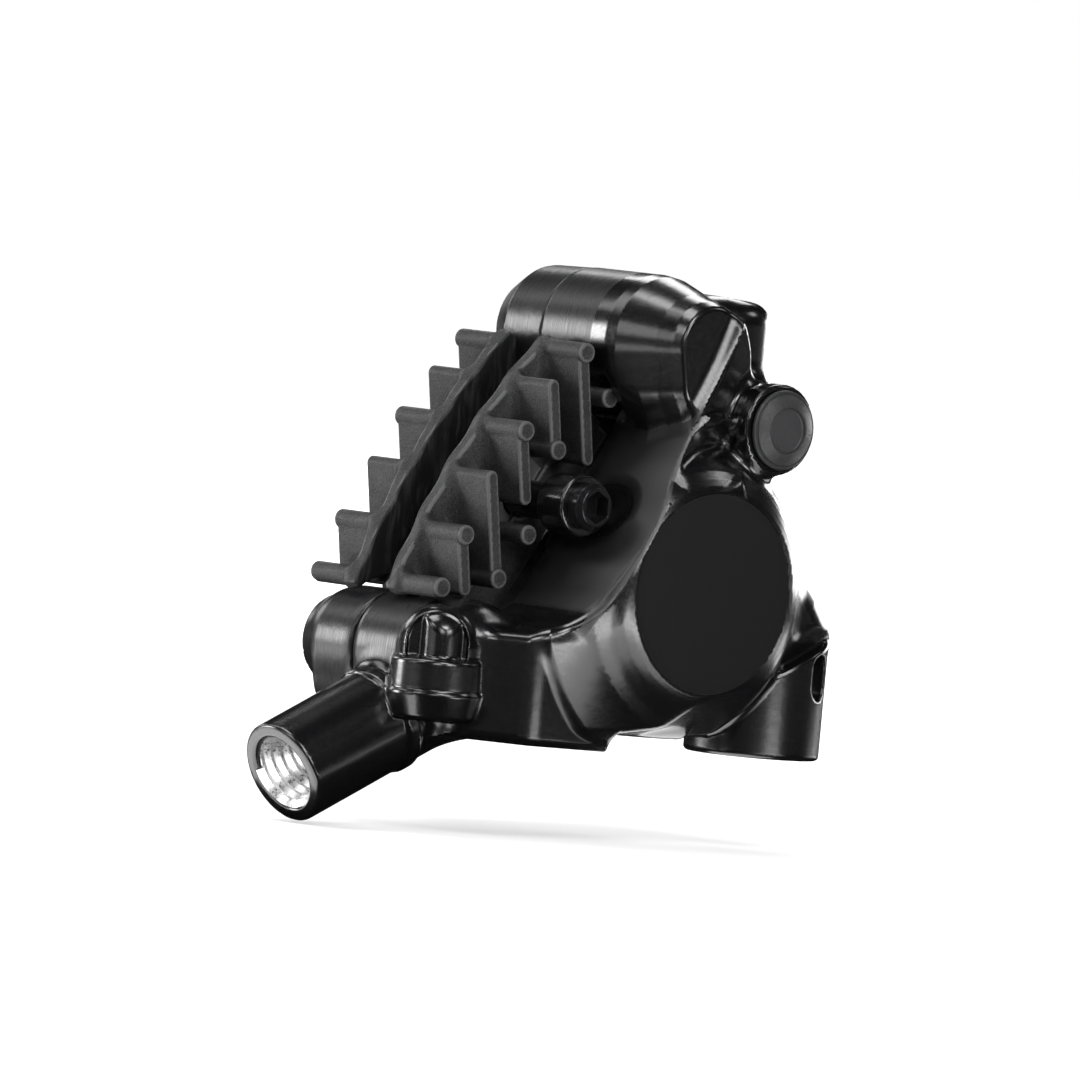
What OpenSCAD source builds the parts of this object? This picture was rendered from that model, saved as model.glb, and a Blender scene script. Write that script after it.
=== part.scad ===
// Rear flat-mount disc brake caliper with finned pads.
// X points to the rear of the bicycle, Y towards the wheel, Z up from the mounting face.
// The origin lies on the mounting face, midway between the two frame screws.

/* [Mounting feet] */
// Distance between the two frame screws
mount_pitch = 34; // [33:0.5:36]
// Diameter of the tapped mounting holes
mount_hole_d = 4.2; // [3.8:0.1:5]
// Depth of the tapped mounting holes
mount_hole_depth = 9; // [7:0.5:9.5]
// Diameter of the round rear foot
rear_foot_d = 14.6; // [13:0.2:16]
// Height of the front foot
front_foot_h = 12.1; // [11:0.1:12.6]
// Height of the arch between the feet
arch_h = 2.2; // [1.5:0.1:3]

/* [Rotor] */
// Diameter of the rotor that runs in the slot
rotor_d = 140; // [139:0.5:141]
// Distance from the piston axis to the rotor axis
rotor_reach = 59; // [58:0.25:60]
// Distance of the rotor plane from the line of the mounting holes
rotor_offset = 11; // [10.5:0.25:12]
// Width of the rotor slot between the two halves
rotor_slot_w = 3.2; // [2.8:0.1:3.6]
// Clearance around the rim of the rotor
rotor_rim_gap = 1.5; // [1:0.1:2]

/* [Housing] */
// Distance of the housing axis in front of the origin
housing_forward = 1.1; // [0.5:0.1:1.6]
// Height of the housing axis over the mounting face
housing_up = 17.6; // [17:0.1:18.5]
// Lean of the pad line from the horizontal
pad_lean = 55.8; // [54:0.2:58]
// Diameter of the flat round face of the housing
face_d = 21.4; // [20.5:0.1:22.4]
// Distance of the outer face from the rotor plane
face_reach = 23; // [22.5:0.25:24]
// Distance of the inner face from the rotor plane
inner_reach = 16; // [15.5:0.25:17]
// Greatest radius of the flared housing
flare_r = 18.9; // [18.4:0.1:19.4]
// Height of the flat shoulder over the housing axis
shoulder_r = 11.6; // [11.3:0.1:12.2]

/* [Pistons] */
// Diameter of the pistons
piston_d = 21; // [19:0.2:21.6]
// Distance that the piston axis lies under the housing axis
piston_drop = 1; // [0.6:0.1:1.4]
// Length of the outer piston
outer_piston_l = 11.2; // [9:0.2:12.4]
// Length of the inner piston
inner_piston_l = 6.9; // [6:0.1:7.2]
// Radial gap between a piston and its bore
piston_gap = 0.03; // [0.02:0.01:0.06]
// Side of the square section of a piston seal
seal_side = 1; // [0.8:0.05:1.1]

/* [Pads] */
// Gap between the two linings at rest
lining_gap = 2.6; // [2.3:0.1:2.8]
// Thickness of a lining
lining_t = 1.1; // [0.9:0.05:1.2]
// Thickness of a steel backing plate
backing_t = 1; // [0.8:0.05:1.1]
// Thickness of the cooling plate behind the backing plate
cooler_t = 1; // [0.8:0.05:1.1]
// Thickness of the cooling plate over the housing
cooler_top_t = 1.6; // [1.5:0.05:1.9]
// Half the length of a backing plate
backing_half = 13.5; // [13:0.1:13.6]
// Reach of the fins from the rotor plane
fin_reach = 10; // [9.5:0.1:10.2]
// Thickness of a fin
fin_t = 1.5; // [1.2:0.1:1.8]
// Diameter of the round posts on the fins
post_d = 2.1; // [1.8:0.1:2.4]
// Height of the rounded top of the pads over the housing axis
pad_top = 24; // [23.5:0.1:24.5]
// Gap between the pads and the pocket that they slide in
pocket_gap = 0.3; // [0.2:0.05:0.4]

/* [Pad axle] */
// Diameter of the pad axle
axle_d = 4; // [3.6:0.1:4.2]
// Diameter of the head of the pad axle
axle_head_d = 5; // [4.8:0.1:5.4]
// Width across flats of the hexagon socket
axle_socket = 3; // [2.5:0.25:3]
// Height of the axle over the housing axis
axle_r = 14.5; // [14.2:0.1:14.8]
// Radial gap between the axle and its holes
axle_gap = 0.08; // [0.05:0.01:0.1]
// Radius of the scooped recess around the head
scoop_r = 4.4; // [4:0.1:4.6]

/* [Clamp screws] */
// Nominal diameter of the clamp screws
clamp_d = 5; // [4:0.5:5]
// Diameter of the clamp screw heads
clamp_head_d = 8.4; // [8:0.1:8.8]
// Height of the clamp screw heads
clamp_head_h = 3; // [2.6:0.1:3.4]
// Radius of the rear clamp boss
rear_boss_r = 7; // [6.6:0.1:7.2]
// Radius of the front clamp boss
front_boss_r = 6; // [5.8:0.1:6.3]
// Distance of the clamp bosses from the middle of the pads
boss_spread = 20.75; // [20.5:0.05:21.2]
// Height of the clamp bosses over the housing axis
boss_up = 15; // [14.6:0.1:15.4]
// Thickness of the inner half at the clamp bosses
inner_boss_t = 9.6; // [9:0.1:10]

/* [Hose port] */
// Outer diameter of the hose port
port_d = 11.2; // [10.8:0.1:11.6]
// Diameter of the tapped bore of the hose port
port_bore_d = 8; // [7.5:0.1:8]
// Depth of the tapped bore of the hose port
port_depth = 13; // [11:0.5:14]
// Length of the hose port tube
port_l = 27; // [26:0.5:28]
// Slope of the hose port
port_slope = 26.3; // [25:0.1:27.5]
// Diameter of the fluid passages
passage_d = 2; // [1.6:0.1:2.2]

/* [Bleed parts] */
// Diameter of the outboard bleed boss
bleed_boss_d = 10.3; // [10:0.1:10.6]
// Diameter of the rubber cap
bleed_cap_d = 8.5; // [8:0.1:8.8]
// Diameter of the upright screw boss
valve_boss_d = 11.4; // [11:0.1:11.6]
// Height of the upright screw boss over the mounting face
valve_top = 48.5; // [48:0.1:49]
// Diameter of the bleed screw
valve_d = 6; // [5.6:0.1:6]
// Width across flats of the socket of the bleed screw
valve_socket = 3; // [2.5:0.25:3]

/* [Hidden] */
$fn = 64;

// Planes across the caliper
outer_face_y = rotor_offset - face_reach;
inner_face_y = rotor_offset + inner_reach;
crest_y = outer_face_y + 2;
crest_fall = 0.42;
inner_boss_y = rotor_offset + inner_boss_t;
slot_half = rotor_slot_w / 2;
lap = 0.4;

// Pads, measured from the rotor plane outwards
lining_at = lining_gap / 2;
backing_at = lining_at + lining_t;
cooler_at = backing_at + backing_t;
cooler_back = cooler_at + cooler_t;
pocket_floor = cooler_back + 1;
backing_low = -11.5;
backing_high = 9.5;
backing_round = 15.6;
lining_half = 11.6;
ear_half = 4;
ear_high = 17.8;
pad_top_r = rotor_reach + pad_top;
axle_r_in = axle_d / 2 + axle_gap;

// Pistons and their seals
piston_r = piston_d / 2;
bore_r = piston_r + piston_gap;
outer_bore_end = outer_face_y + 2.6;
inner_bore_end = inner_face_y - 2.2;
seal_gap = 0.01;
seal_at = pocket_floor + 1.2;
cup_wall = 2;

// Clamp bosses and what goes through them
rear_boss_end = -9.5;
front_boss_end = -3;
clamp_thread_end = rotor_offset - 14;
clamp_hole_gap = 0.05;
counterbore_gap = 0.15;
clamp_socket = 4;
clamp_socket_deep = 2;

// Axle, from its head inwards
axle_head_y = -5.8;
axle_head_h = 2;
outer_lug_y = axle_head_y + axle_head_h;
outer_lug_end = 0.4;
lug_r = 3.3;
inner_lug_y = 2 * rotor_offset - outer_lug_end;
inner_lug_end = inner_lug_y + 2.6;
clip_t = 0.7;
clip_groove = 0.5;
axle_end = inner_lug_end + clip_t + 1.3;

// Hose port: middle of its face, and the groove around it
port_face = [-43.3, 6, -4.8];
port_rim = 0.6;
port_band_at = 12.8;
port_band_l = 2.2;
port_band_up = 0.3;
port_clear = 0.3;

// Front foot: its ends, the plane of its plate and the upright ridge on that plate
foot_left = -mount_pitch / 2 - 10.7;
foot_right = -mount_pitch / 2 + 6.5;
plate_y = outer_face_y + 3.7;
plate_ridge = foot_left + 4.6;

// Front column beside the front foot, with a flange at its foot and a band round its waist
column_at = [-28.9, -0.4];
column_r = 4.05;
column_low = 2.6;
column_top = 14.4;
column_flange_h = 2.9;
column_flange_up = 0.9;
column_band_low = 5.6;
column_band_h = 3;
column_band_up = 0.85;

// Rear foot: height and slope of its top, along the way that the slope rises
foot_top_h = 7.8;
foot_top_way = -41;
foot_top_rise = 33.4;

// Cut under the round face: where its edge starts, and how steeply that edge climbs
under_start = [-9.3, -10, 1.3];
under_climb = 19.3;

// Tail that draws the end of the rear clamp boss out towards the shoulder
rear_tail = [0.7, -3.4];
rear_tail_end = 3.5;
web_joint = [6.2, 39.5];

// Bleed parts
bleed_at = [7.4, 35.5];
bleed_face_y = -11;
cap_plug_r = 2.9;
cap_t = 1;
cap_hole_deep = 3.2;
nipple_r = 1.9;
nipple_foot_t = 1;
nipple_bore_r = 0.6;
valve_at = [7.4, 1];
valve_low = 30;
valve_head_low = valve_top - 7;
passage_at = [6.4, 45];
passage_lobe_r = 3.7;
passage_seal_r = 1.6;
passage_seal_t = 0.8;
plug_deep = 3.2;
plug_d = 4.4;
plug_socket = 2.5;

// Fins: place of the top end along the pad, and length of each
fin_tops = [14.6, 9.2, 3.2, -3.3, -10.2, -16.4];
fin_lengths = [11.6, 6.8, 7.4, 10.8, 6, 0.6];
fin_run = 224.2;
post_on_top = [0, 2, 4, 5];
post_on_bottom = [1, 3];
free_posts = [[12.9, 15.9], [-5, 15.4]];

function top_of(t) = sqrt(pad_top_r * pad_top_r - t * t) - rotor_reach;

// Flat outlines are drawn in X and Z, and then given their width along Y
module along_y(y0, y1) {
    translate([0, y1, 0])
        rotate([90, 0, 0])
            linear_extrude(height = y1 - y0)
                children();
}

// Turned shapes on an axis along Y, drawn as radius and Y
module turned_y(at) {
    translate([at[0], 0, at[1]])
        rotate([-90, 0, 0])
            rotate_extrude()
                children();
}

module rod_y(at, r, y0, y1) {
    translate([at[0], y0, at[1]])
        rotate([-90, 0, 0])
            cylinder(h = y1 - y0, r = r);
}

// An outline drawn as Y and height over the housing axis, drawn out along the pad line
module along_pad(t0, t1) {
    translate([housing_at[0], 0, housing_at[1]])
        rotate([0, -pad_lean, 0])
            translate([t0, 0, 0])
                rotate([90, 0, 90])
                    linear_extrude(height = t1 - t0)
                        children();
}

// The same outline, drawn out from one X,Z point to another
module along_line(from, to) {
    way = to - from;
    translate([from[0], 0, from[1]])
        rotate([0, -atan2(way[1], way[0]), 0])
            rotate([90, 0, 90])
                linear_extrude(height = norm(way))
                    children();
}

// Puts an outline in the pad's own frame: first along the pad line, then away from the rotor
module pad_frame() {
    translate([-housing_forward, housing_up])
        rotate(pad_lean)
            children();
}

function pad_point(t, r) = [
    -housing_forward + t * cos(pad_lean) - r * sin(pad_lean),
    housing_up + t * sin(pad_lean) + r * cos(pad_lean)
];

housing_at = pad_point(0, 0);
piston_at = pad_point(0, -piston_drop);
axle_at = pad_point(0, axle_r);
rotor_at = pad_point(0, -rotor_reach);
rear_boss_at = pad_point(boss_spread, boss_up);
front_boss_at = pad_point(-boss_spread, boss_up);

// Two circles and the straight sides that touch both
module tangent_link(a, ra, b, rb) {
    d = norm(b - a);
    way = atan2(b[1] - a[1], b[0] - a[0]);
    open = acos((ra - rb) / d);
    translate(a)
        circle(r = ra);
    translate(b)
        circle(r = rb);
    polygon([
        a + ra * [cos(way + open), sin(way + open)],
        a + ra * [cos(way - open), sin(way - open)],
        b + rb * [cos(way - open), sin(way - open)],
        b + rb * [cos(way + open), sin(way + open)]
    ]);
}

// Everything of the rotor slot that both halves give way to
module rotor_space() {
    rod_y(rotor_at, rotor_d / 2 + rotor_rim_gap,
          rotor_offset - slot_half, rotor_offset + slot_half);
}

module backing_outline(grow) {
    intersection() {
        polygon([
            [-backing_half - grow, backing_low - grow],
            [backing_half + grow, backing_low - grow],
            [backing_half + grow, backing_high + grow],
            [-backing_half - grow, backing_high + grow]
        ]);
        circle(r = backing_round + grow);
    }
}

// Opening above the pads, as high as anything on them
module pad_opening_outline() {
    polygon([
        [-backing_half - pocket_gap, 0],
        [backing_half + pocket_gap, 0],
        [backing_half + pocket_gap, 40],
        [-backing_half - pocket_gap, 40]
    ]);
}

module pad_pocket(y0, y1) {
    along_y(y0, y1)
        pad_frame() {
            backing_outline(pocket_gap);
            pad_opening_outline();
        }
}

// Piston bore with its seal groove, open towards the pads
module piston_bore(closed_end, side) {
    open_end = rotor_offset - side * (pocket_floor - lap);
    rod_y(piston_at, bore_r, min(closed_end, open_end), max(closed_end, open_end));
    seal_y = rotor_offset - side * (seal_at + seal_side / 2);
    rod_y(piston_at, piston_r + seal_gap + seal_side,
          seal_y - seal_side / 2 - seal_gap, seal_y + seal_side / 2 + seal_gap);
}

// Outer half

// Flared round housing that ends in the flat face
module outer_housing() {
    face_r = face_d / 2;
    turned_y(housing_at)
        polygon([
            [0, outer_face_y],
            [face_r, outer_face_y],
            [face_r + 2.4, outer_face_y + 1.2],
            [face_r + 4.5, outer_face_y + 3.4],
            [face_r + 6.3, outer_face_y + 6.7],
            [flare_r, outer_face_y + 11],
            [flare_r, rotor_offset],
            [0, rotor_offset]
        ]);
}

// Sloping shoulder between the two clamp bosses, whose front falls back under its crest
module outer_shoulder() {
    intersection() {
        along_y(crest_y, rotor_offset)
            pad_frame()
                polygon([
                    [-21, 3], [-18, shoulder_r], [22, shoulder_r + 2],
                    [23, 6], [12.4, -5.6], [-12, -8]
                ]);
        along_pad(-22, 24)
            polygon([
                [crest_y + 0.4, shoulder_r + 3], [crest_y + 0.4, shoulder_r],
                [crest_y + 0.4 + crest_fall * (shoulder_r + 9), -9],
                [rotor_offset, -9], [rotor_offset, shoulder_r + 3]
            ]);
    }
}

// Apron that leads from the round face down to the front foot
module apron() {
    face_r = face_d / 2;
    inner_end = rotor_offset - slot_half;
    intersection() {
        turned_y(housing_at)
            polygon([
                [0, outer_face_y + 0.1], [face_r + 0.1, outer_face_y + 0.1],
                [face_r + 4.7, crest_y - 0.3], [flare_r + 0.9, crest_y + 1.7],
                [flare_r + 1.3, crest_y + 3], [flare_r + 1.3, inner_end], [0, inner_end]
            ]);
        along_y(outer_face_y, inner_end)
            polygon([
                [plate_ridge, 0], [foot_right, 0], [foot_right + 0.6, arch_h], [2, arch_h + 1],
                [2, 24], pad_point(2, shoulder_r - 0.4), pad_point(-10, shoulder_r - 1.1),
                [plate_ridge + 6, front_foot_h + 1], [plate_ridge + 4, front_foot_h + 0.2],
                [plate_ridge, front_foot_h]
            ]);
    }
}

// Slanting space in front of and under the lower edge of the apron
module under_face() {
    translate(under_start)
        rotate([0, -under_climb, 0])
            translate([-3, 0, 0])
                rotate([90, 0, 90])
                    linear_extrude(height = 27)
                        polygon([[-6, 6], [8, -8], [8, -14], [-6, -14]]);
}

// Rear clamp boss, tapered to its end, and the web that joins it to the bleed boss
module rear_bridge() {
    tip_r = rear_boss_r - 3.1;
    tail_r = tip_r + 1.9;
    turned_y(rear_boss_at)
        polygon([
            [0, rear_boss_end], [tip_r, rear_boss_end], [tip_r + 0.7, rear_boss_end + 0.6],
            [tip_r + 1.5, rear_boss_end + 3.9], [tip_r + 2.5, rear_boss_end + 6.6],
            [rear_boss_r, rear_boss_end + 8.8], [rear_boss_r, rear_tail_end],
            [0, rear_tail_end]
        ]);
    turned_y(rear_boss_at + rear_tail)
        polygon([
            [0, rear_boss_end + 0.1], [tip_r, rear_boss_end + 0.1], [tip_r + 0.7, rear_boss_end + 0.7],
            [tail_r, rear_boss_end + 5], [tail_r, rear_tail_end - 0.1], [0, rear_tail_end - 0.1]
        ]);
    along_line(rear_boss_at, rear_boss_at + rear_tail)
        polygon([
            [rear_boss_end + 0.05, 0.05 - tip_r], [rear_boss_end + 0.65, -tip_r - 0.65],
            [rear_boss_end + 5, 0.05 - tail_r], [rear_tail_end - 0.05, 0.05 - tail_r],
            [rear_tail_end - 0.05, tail_r - 0.05], [rear_boss_end + 5, tail_r - 0.05],
            [rear_boss_end + 0.65, tip_r + 0.65], [rear_boss_end + 0.05, tip_r - 0.05]
        ]);
    rod_y(rear_boss_at, rear_boss_r, rear_tail_end - lap, rotor_offset);
    along_y(crest_y + 6.5, rotor_offset) {
        tangent_link(rear_boss_at, rear_boss_r - 3, web_joint, 3.6);
        tangent_link(web_joint, 3.6, [8.2, 26], 5.8);
        tangent_link([3.4, 42.4], passage_lobe_r, passage_at, passage_lobe_r);
    }
}

module front_bridge() {
    rod_y(front_boss_at, front_boss_r, front_boss_end, rotor_offset);
    along_y(front_boss_end, rotor_offset)
        tangent_link(front_boss_at, front_boss_r - 0.4, [-15, 8], 5);
}

// Outline of the web over the rear foot
module foot_web() {
    polygon([
        [12, 26], [15.7, 22.9], [17.9, 20.4], [20.2, 18], [22.8, 14.4],
        [22.6, 13.3], [12, 7.7], [8, 5.7], [6, 16]
    ]);
}

// Front foot with its ridged plate, arch, and round rear foot with a slanting top
module feet() {
    inner_end = rotor_offset - slot_half;
    intersection() {
        along_y(plate_y, inner_end)
            polygon([
                [foot_left, 0], [foot_right, 0], [foot_right + 0.6, arch_h],
                [0, arch_h], [0, front_foot_h], [foot_left, front_foot_h]
            ]);
        linear_extrude(height = 2 * front_foot_h)
            polygon([
                [foot_left, inner_end], [foot_left, plate_y + 4.7], [plate_ridge - 0.7, plate_y + 0.7],
                [plate_ridge + 0.8, plate_y], [0, plate_y], [0, inner_end]
            ]);
    }
    along_y(-1, inner_end)
        polygon([
            [foot_right, arch_h], [mount_pitch / 2, arch_h],
            [mount_pitch / 2, front_foot_h], [foot_right, front_foot_h]
        ]);
    intersection() {
        translate([mount_pitch / 2, 0, 0])
            cylinder(h = 16, d = rear_foot_d);
        translate([mount_pitch / 2, 0, foot_top_h])
            rotate([0, 0, foot_top_way])
                rotate([0, -foot_top_rise, 0])
                    translate([-20, -20, -30])
                        cube([40, 40, 30]);
    }
    intersection() {
        along_y(-6.4, 7)
            foot_web();
        along_line([3.5, 35.13], [29.6, 7.1])
            polygon([[-7, -21], [-7, -3.2], [-5.35, -0.4], [-2.8, 0.7], [8, 0.7], [8, -21]]);
    }
}

// Round-topped column at the front end
module front_column() {
    ball_z = column_top - column_r;
    translate([column_at[0], column_at[1], 0]) {
        translate([0, 0, column_low])
            cylinder(h = ball_z - column_low, r = column_r);
        translate([0, 0, ball_z])
            sphere(r = column_r);
        translate([0, -column_r, column_low])
            cube([4, 2 * column_r, ball_z - column_low]);
        translate([0, 0, column_low - 0.2])
            cylinder(h = column_flange_h, r = column_r + column_flange_up);
        translate([0, 0, column_band_low])
            cylinder(h = column_band_h, r = column_r + column_band_up);
    }
}

module on_port() {
    translate(port_face)
        rotate([0, 90 - port_slope, 0])
            children();
}

module hose_port() {
    on_port() {
        cylinder(h = port_rim, r1 = port_d / 2 - 0.5, r2 = port_d / 2);
        translate([0, 0, port_rim])
            cylinder(h = port_l - port_rim, r = port_d / 2);
        translate([0, 0, port_band_at])
            cylinder(h = port_band_l, r = port_d / 2 + port_band_up);
    }
}

module bleed_boss() {
    turned_y(bleed_at)
        polygon([
            [0, bleed_face_y], [bleed_boss_d / 2 - 0.5, bleed_face_y],
            [bleed_boss_d / 2, bleed_face_y + 0.5], [bleed_boss_d / 2, bleed_face_y + 3.4],
            [bleed_boss_d / 2 - 1, bleed_face_y + 4.6], [bleed_boss_d / 2 - 1, 2], [0, 2]
        ]);
}

module valve_boss() {
    translate([valve_at[0], valve_at[1], valve_low]) {
        cylinder(h = valve_top - valve_low - 1.6, d = valve_boss_d);
        translate([0, 0, valve_top - valve_low - 1.6])
            cylinder(h = 1.6, d1 = valve_boss_d, d2 = valve_boss_d - 2.4);
    }
}

// Tapped holes for the two frame screws
module mount_holes() {
    for (x = [-mount_pitch / 2, mount_pitch / 2])
        translate([x, 0, -1])
            cylinder(h = mount_hole_depth + 1, d = mount_hole_d);
}

// Oblong slot low on the rear foot
module rear_foot_slot() {
    translate([mount_pitch / 2, 0, 0])
        rotate([0, 0, -28])
            translate([rear_foot_d / 2 - 1.2, 0, 0])
                rotate([0, 90, 0])
                    linear_extrude(height = 4)
                        tangent_link([-9.9, 0], 1.1, [-7.4, 0], 1.1);
}

// Fluid ways from the hose port to the bore and on to the inner half
module outer_passages() {
    on_port()
        translate([0, 0, port_depth - 1])
            cylinder(h = 17, d = passage_d);
    rod_y(passage_at, passage_d / 2, 1, rotor_offset + 1);
    rod_y(bleed_at, passage_d / 2, bleed_face_y, 1);
    translate([valve_at[0], valve_at[1], 24])
        cylinder(h = valve_head_low - 23, d = passage_d);
}

module outer_body() {
    color([0.03, 0.03, 0.035])
    difference() {
        union() {
            difference() {
                union() {
                    outer_housing();
                    outer_shoulder();
                }
                above_outer_shoulder();
                under_arch();
                under_face();
            }
            difference() {
                apron();
                under_face();
            }
            rear_bridge();
            front_bridge();
            feet();
            front_column();
            hose_port();
            bleed_boss();
            valve_boss();
            rod_y(axle_at, lug_r, outer_lug_y, outer_lug_end);
            axle_web(outer_lug_y, outer_lug_end);
        }
        rotor_space();
        pad_pocket(rotor_offset - pocket_floor, rotor_offset + 1);
        fin_room(outer_lug_end, rotor_offset + 1);
        piston_bore(outer_bore_end, 1);
        rod_y(axle_at, scoop_r, outer_face_y - 2, outer_lug_y);
        rod_y(axle_at, axle_r_in, outer_lug_y - 1, outer_lug_end + 1);
        for (at = [rear_boss_at, front_boss_at])
            rod_y(at, clamp_d / 2 + piston_gap, clamp_thread_end, rotor_offset + 1);
        mount_holes();
        rear_foot_slot();
        on_port()
            translate([0, 0, -1])
                cylinder(h = port_depth + 1, d = port_bore_d);
        outer_passages();
        rod_y(bleed_at, cap_plug_r + 0.05, bleed_face_y - 1, bleed_face_y + cap_hole_deep);
        translate([valve_at[0], valve_at[1], valve_head_low])
            cylinder(h = 9, d = valve_d + 2 * piston_gap);
        rod_y(passage_at, passage_seal_r + passage_seal_t, rotor_offset - passage_seal_t,
              rotor_offset + 1);
    }
}

// Space over the shoulder that the housing gives way to
module above_shoulder(y0, y1) {
    along_y(y0, y1)
        pad_frame()
            translate([-40, shoulder_r])
                square([80, 30]);
}

// Space over the outer shoulder, which climbs a little towards the rear clamp boss
module above_outer_shoulder() {
    along_y(outer_face_y - 1, rotor_offset + 1)
        pad_frame()
            polygon([
                [-40, shoulder_r - 3], [-20, shoulder_r - 1.7], [12, shoulder_r + 0.4],
                [20, shoulder_r + 1.2], [40, shoulder_r + 8], [40, 50], [-40, 50]
            ]);
}

module under_arch() {
    translate([-60, outer_face_y - 1, -60])
        cube([120, 60, 60 + arch_h]);
}

// Web that stands the axle lug on the shoulder
module axle_web(y0, y1) {
    along_y(y0, y1)
        pad_frame()
            polygon([
                [-lug_r - 1.5, shoulder_r - 1], [lug_r + 1.5, shoulder_r - 1],
                [lug_r, axle_r], [-lug_r, axle_r]
            ]);
}

// Room for the fins, between the clamp bosses
module fin_room(y0, y1) {
    along_y(y0, y1)
        pad_frame()
            polygon([
                [-backing_half - pocket_gap, shoulder_r], [backing_half + 1.1, shoulder_r],
                [backing_half + 1.1, 19], [17, 24], [17, 40], [-19, 40], [-19, 24],
                [-backing_half - pocket_gap, 19]
            ]);
}

// Inner half
module inner_body() {
    color([0.03, 0.03, 0.035])
    difference() {
        union() {
            difference() {
                union() {
                    turned_y(housing_at)
                        polygon([
                            [0, rotor_offset], [flare_r - 0.6, rotor_offset],
                            [flare_r - 0.6, inner_boss_y - 1.6], [16, inner_boss_y + 2.4],
                            [13.6, inner_face_y - 1.2], [12.4, inner_face_y], [0, inner_face_y]
                        ]);
                    along_y(rotor_offset, inner_boss_y + 1.6)
                        pad_frame()
                            polygon([
                                [-20, 2], [-18, shoulder_r], [20, shoulder_r], [21, 4],
                                [14, -8], [-12, -8]
                            ]);
                }
                above_shoulder(rotor_offset - 1, inner_face_y + 1);
                under_arch();
            }
            inner_boss(rear_boss_at, rear_boss_r, 0.7);
            inner_boss(front_boss_at, front_boss_r, 0.2);
            along_y(rotor_offset, inner_boss_y - 1) {
                tangent_link(rear_boss_at, rear_boss_r - 1, passage_at, passage_lobe_r);
                tangent_link(passage_at, passage_lobe_r, [6.6, 28], 8);
                tangent_link(front_boss_at, front_boss_r - 0.6, [-13, 11], 6);
            }
            rod_y(axle_at, lug_r, inner_lug_y, inner_lug_end);
            axle_web(inner_lug_y, inner_lug_end);
            rod_y(plug_boss_at(), plug_d / 2 + 1.3, rotor_offset + slot_half, inner_boss_y + 1.4);
        }
        rotor_space();
        pad_pocket(rotor_offset - 1, rotor_offset + pocket_floor);
        fin_room(rotor_offset - 1, inner_lug_y);
        piston_bore(inner_bore_end, -1);
        rod_y(axle_at, axle_r_in, inner_lug_y - 1, inner_lug_end + 1);
        for (at = [rear_boss_at, front_boss_at]) {
            rod_y(at, clamp_d / 2 + clamp_hole_gap, rotor_offset - 1, inner_boss_y + 1);
            rod_y(at, clamp_head_d / 2 + counterbore_gap, inner_boss_y - clamp_head_h,
                  inner_boss_y + 3);
        }
        rod_y(passage_at, passage_d / 2, rotor_offset - 1, inner_boss_y - 3);
        on_port()
            cylinder(h = port_l + 4, r = port_d / 2 + port_band_up + port_clear);
        rod_y(plug_boss_at(), plug_d / 2 + piston_gap, inner_boss_y - plug_deep,
              inner_boss_y + 2);
    }
}

function plug_boss_at() = pad_point(flare_r + 2.6, -1);

// Boss that narrows towards its chamfered end
module inner_boss(at, r, narrow) {
    chamfer = 1;
    turned_y(at)
        polygon([
            [0, rotor_offset], [r, rotor_offset], [r - narrow, inner_boss_y - chamfer],
            [r - narrow - chamfer, inner_boss_y], [0, inner_boss_y]
        ]);
}

// Cup piston, solid at the fluid end on the outside and open towards the pad
module cup_piston(closed_y, open_y) {
    turned_y(piston_at)
        polygon([
            [0, closed_y], [piston_r - 0.6, closed_y],
            [piston_r, closed_y + 0.6 * sign(open_y - closed_y)], [piston_r, open_y],
            [piston_r - cup_wall, open_y],
            [piston_r - cup_wall, closed_y + cup_wall * sign(open_y - closed_y)],
            [0, closed_y + cup_wall * sign(open_y - closed_y)]
        ]);
}

module outer_piston() {
    open_y = rotor_offset - cooler_back;
    color([0.86, 0.84, 0.78])
        cup_piston(open_y - outer_piston_l, open_y);
}

module inner_piston() {
    open_y = rotor_offset + cooler_back;
    color([0.86, 0.84, 0.78])
        cup_piston(open_y + inner_piston_l, open_y);
}

module piston_seal(side) {
    seal_y = rotor_offset - side * (seal_at + seal_side / 2);
    turned_y(piston_at)
        translate([piston_r + seal_gap, seal_y - seal_side / 2])
            square([seal_side - seal_gap, seal_side]);
}

module outer_piston_seal() {
    color([0.1, 0.1, 0.1])
        piston_seal(1);
}

module inner_piston_seal() {
    color([0.1, 0.1, 0.1])
        piston_seal(-1);
}

// One side's slab: side is 1 for the outer pad and -1 for the inner pad
module pad_slab(side, near, far) {
    along_y(side > 0 ? rotor_offset - far : rotor_offset + near,
            side > 0 ? rotor_offset - near : rotor_offset + far)
        pad_frame()
            children();
}

module ear_outline(grow) {
    polygon([
        [-ear_half - grow, backing_high - 2], [ear_half + grow, backing_high - 2],
        [ear_half + grow, ear_high - 1.6], [ear_half - 1.6 + grow, ear_high + grow],
        [-ear_half + 1.6 - grow, ear_high + grow], [-ear_half - grow, ear_high - 1.6]
    ]);
}

module axle_hole(side) {
    pad_slab(side, lining_at, fin_reach + 2)
        translate([0, axle_r])
            circle(r = axle_r_in);
}

module pad_plate(side) {
    difference() {
        pad_slab(side, backing_at, cooler_at)
            union() {
                backing_outline(0);
                ear_outline(0);
            }
        axle_hole(side);
    }
}

module outer_pad_plate() {
    color([0.45, 0.45, 0.46])
        pad_plate(1);
}

module inner_pad_plate() {
    color([0.45, 0.45, 0.46])
        pad_plate(-1);
}

module lining(side) {
    pad_slab(side, lining_at, backing_at)
        intersection() {
            backing_outline(-0.4);
            translate([-lining_half, backing_low])
                square([2 * lining_half, backing_high - backing_low - 0.4]);
        }
}

module outer_lining() {
    color([0.3, 0.26, 0.2])
        lining(1);
}

module inner_lining() {
    color([0.3, 0.26, 0.2])
        lining(-1);
}

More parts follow.
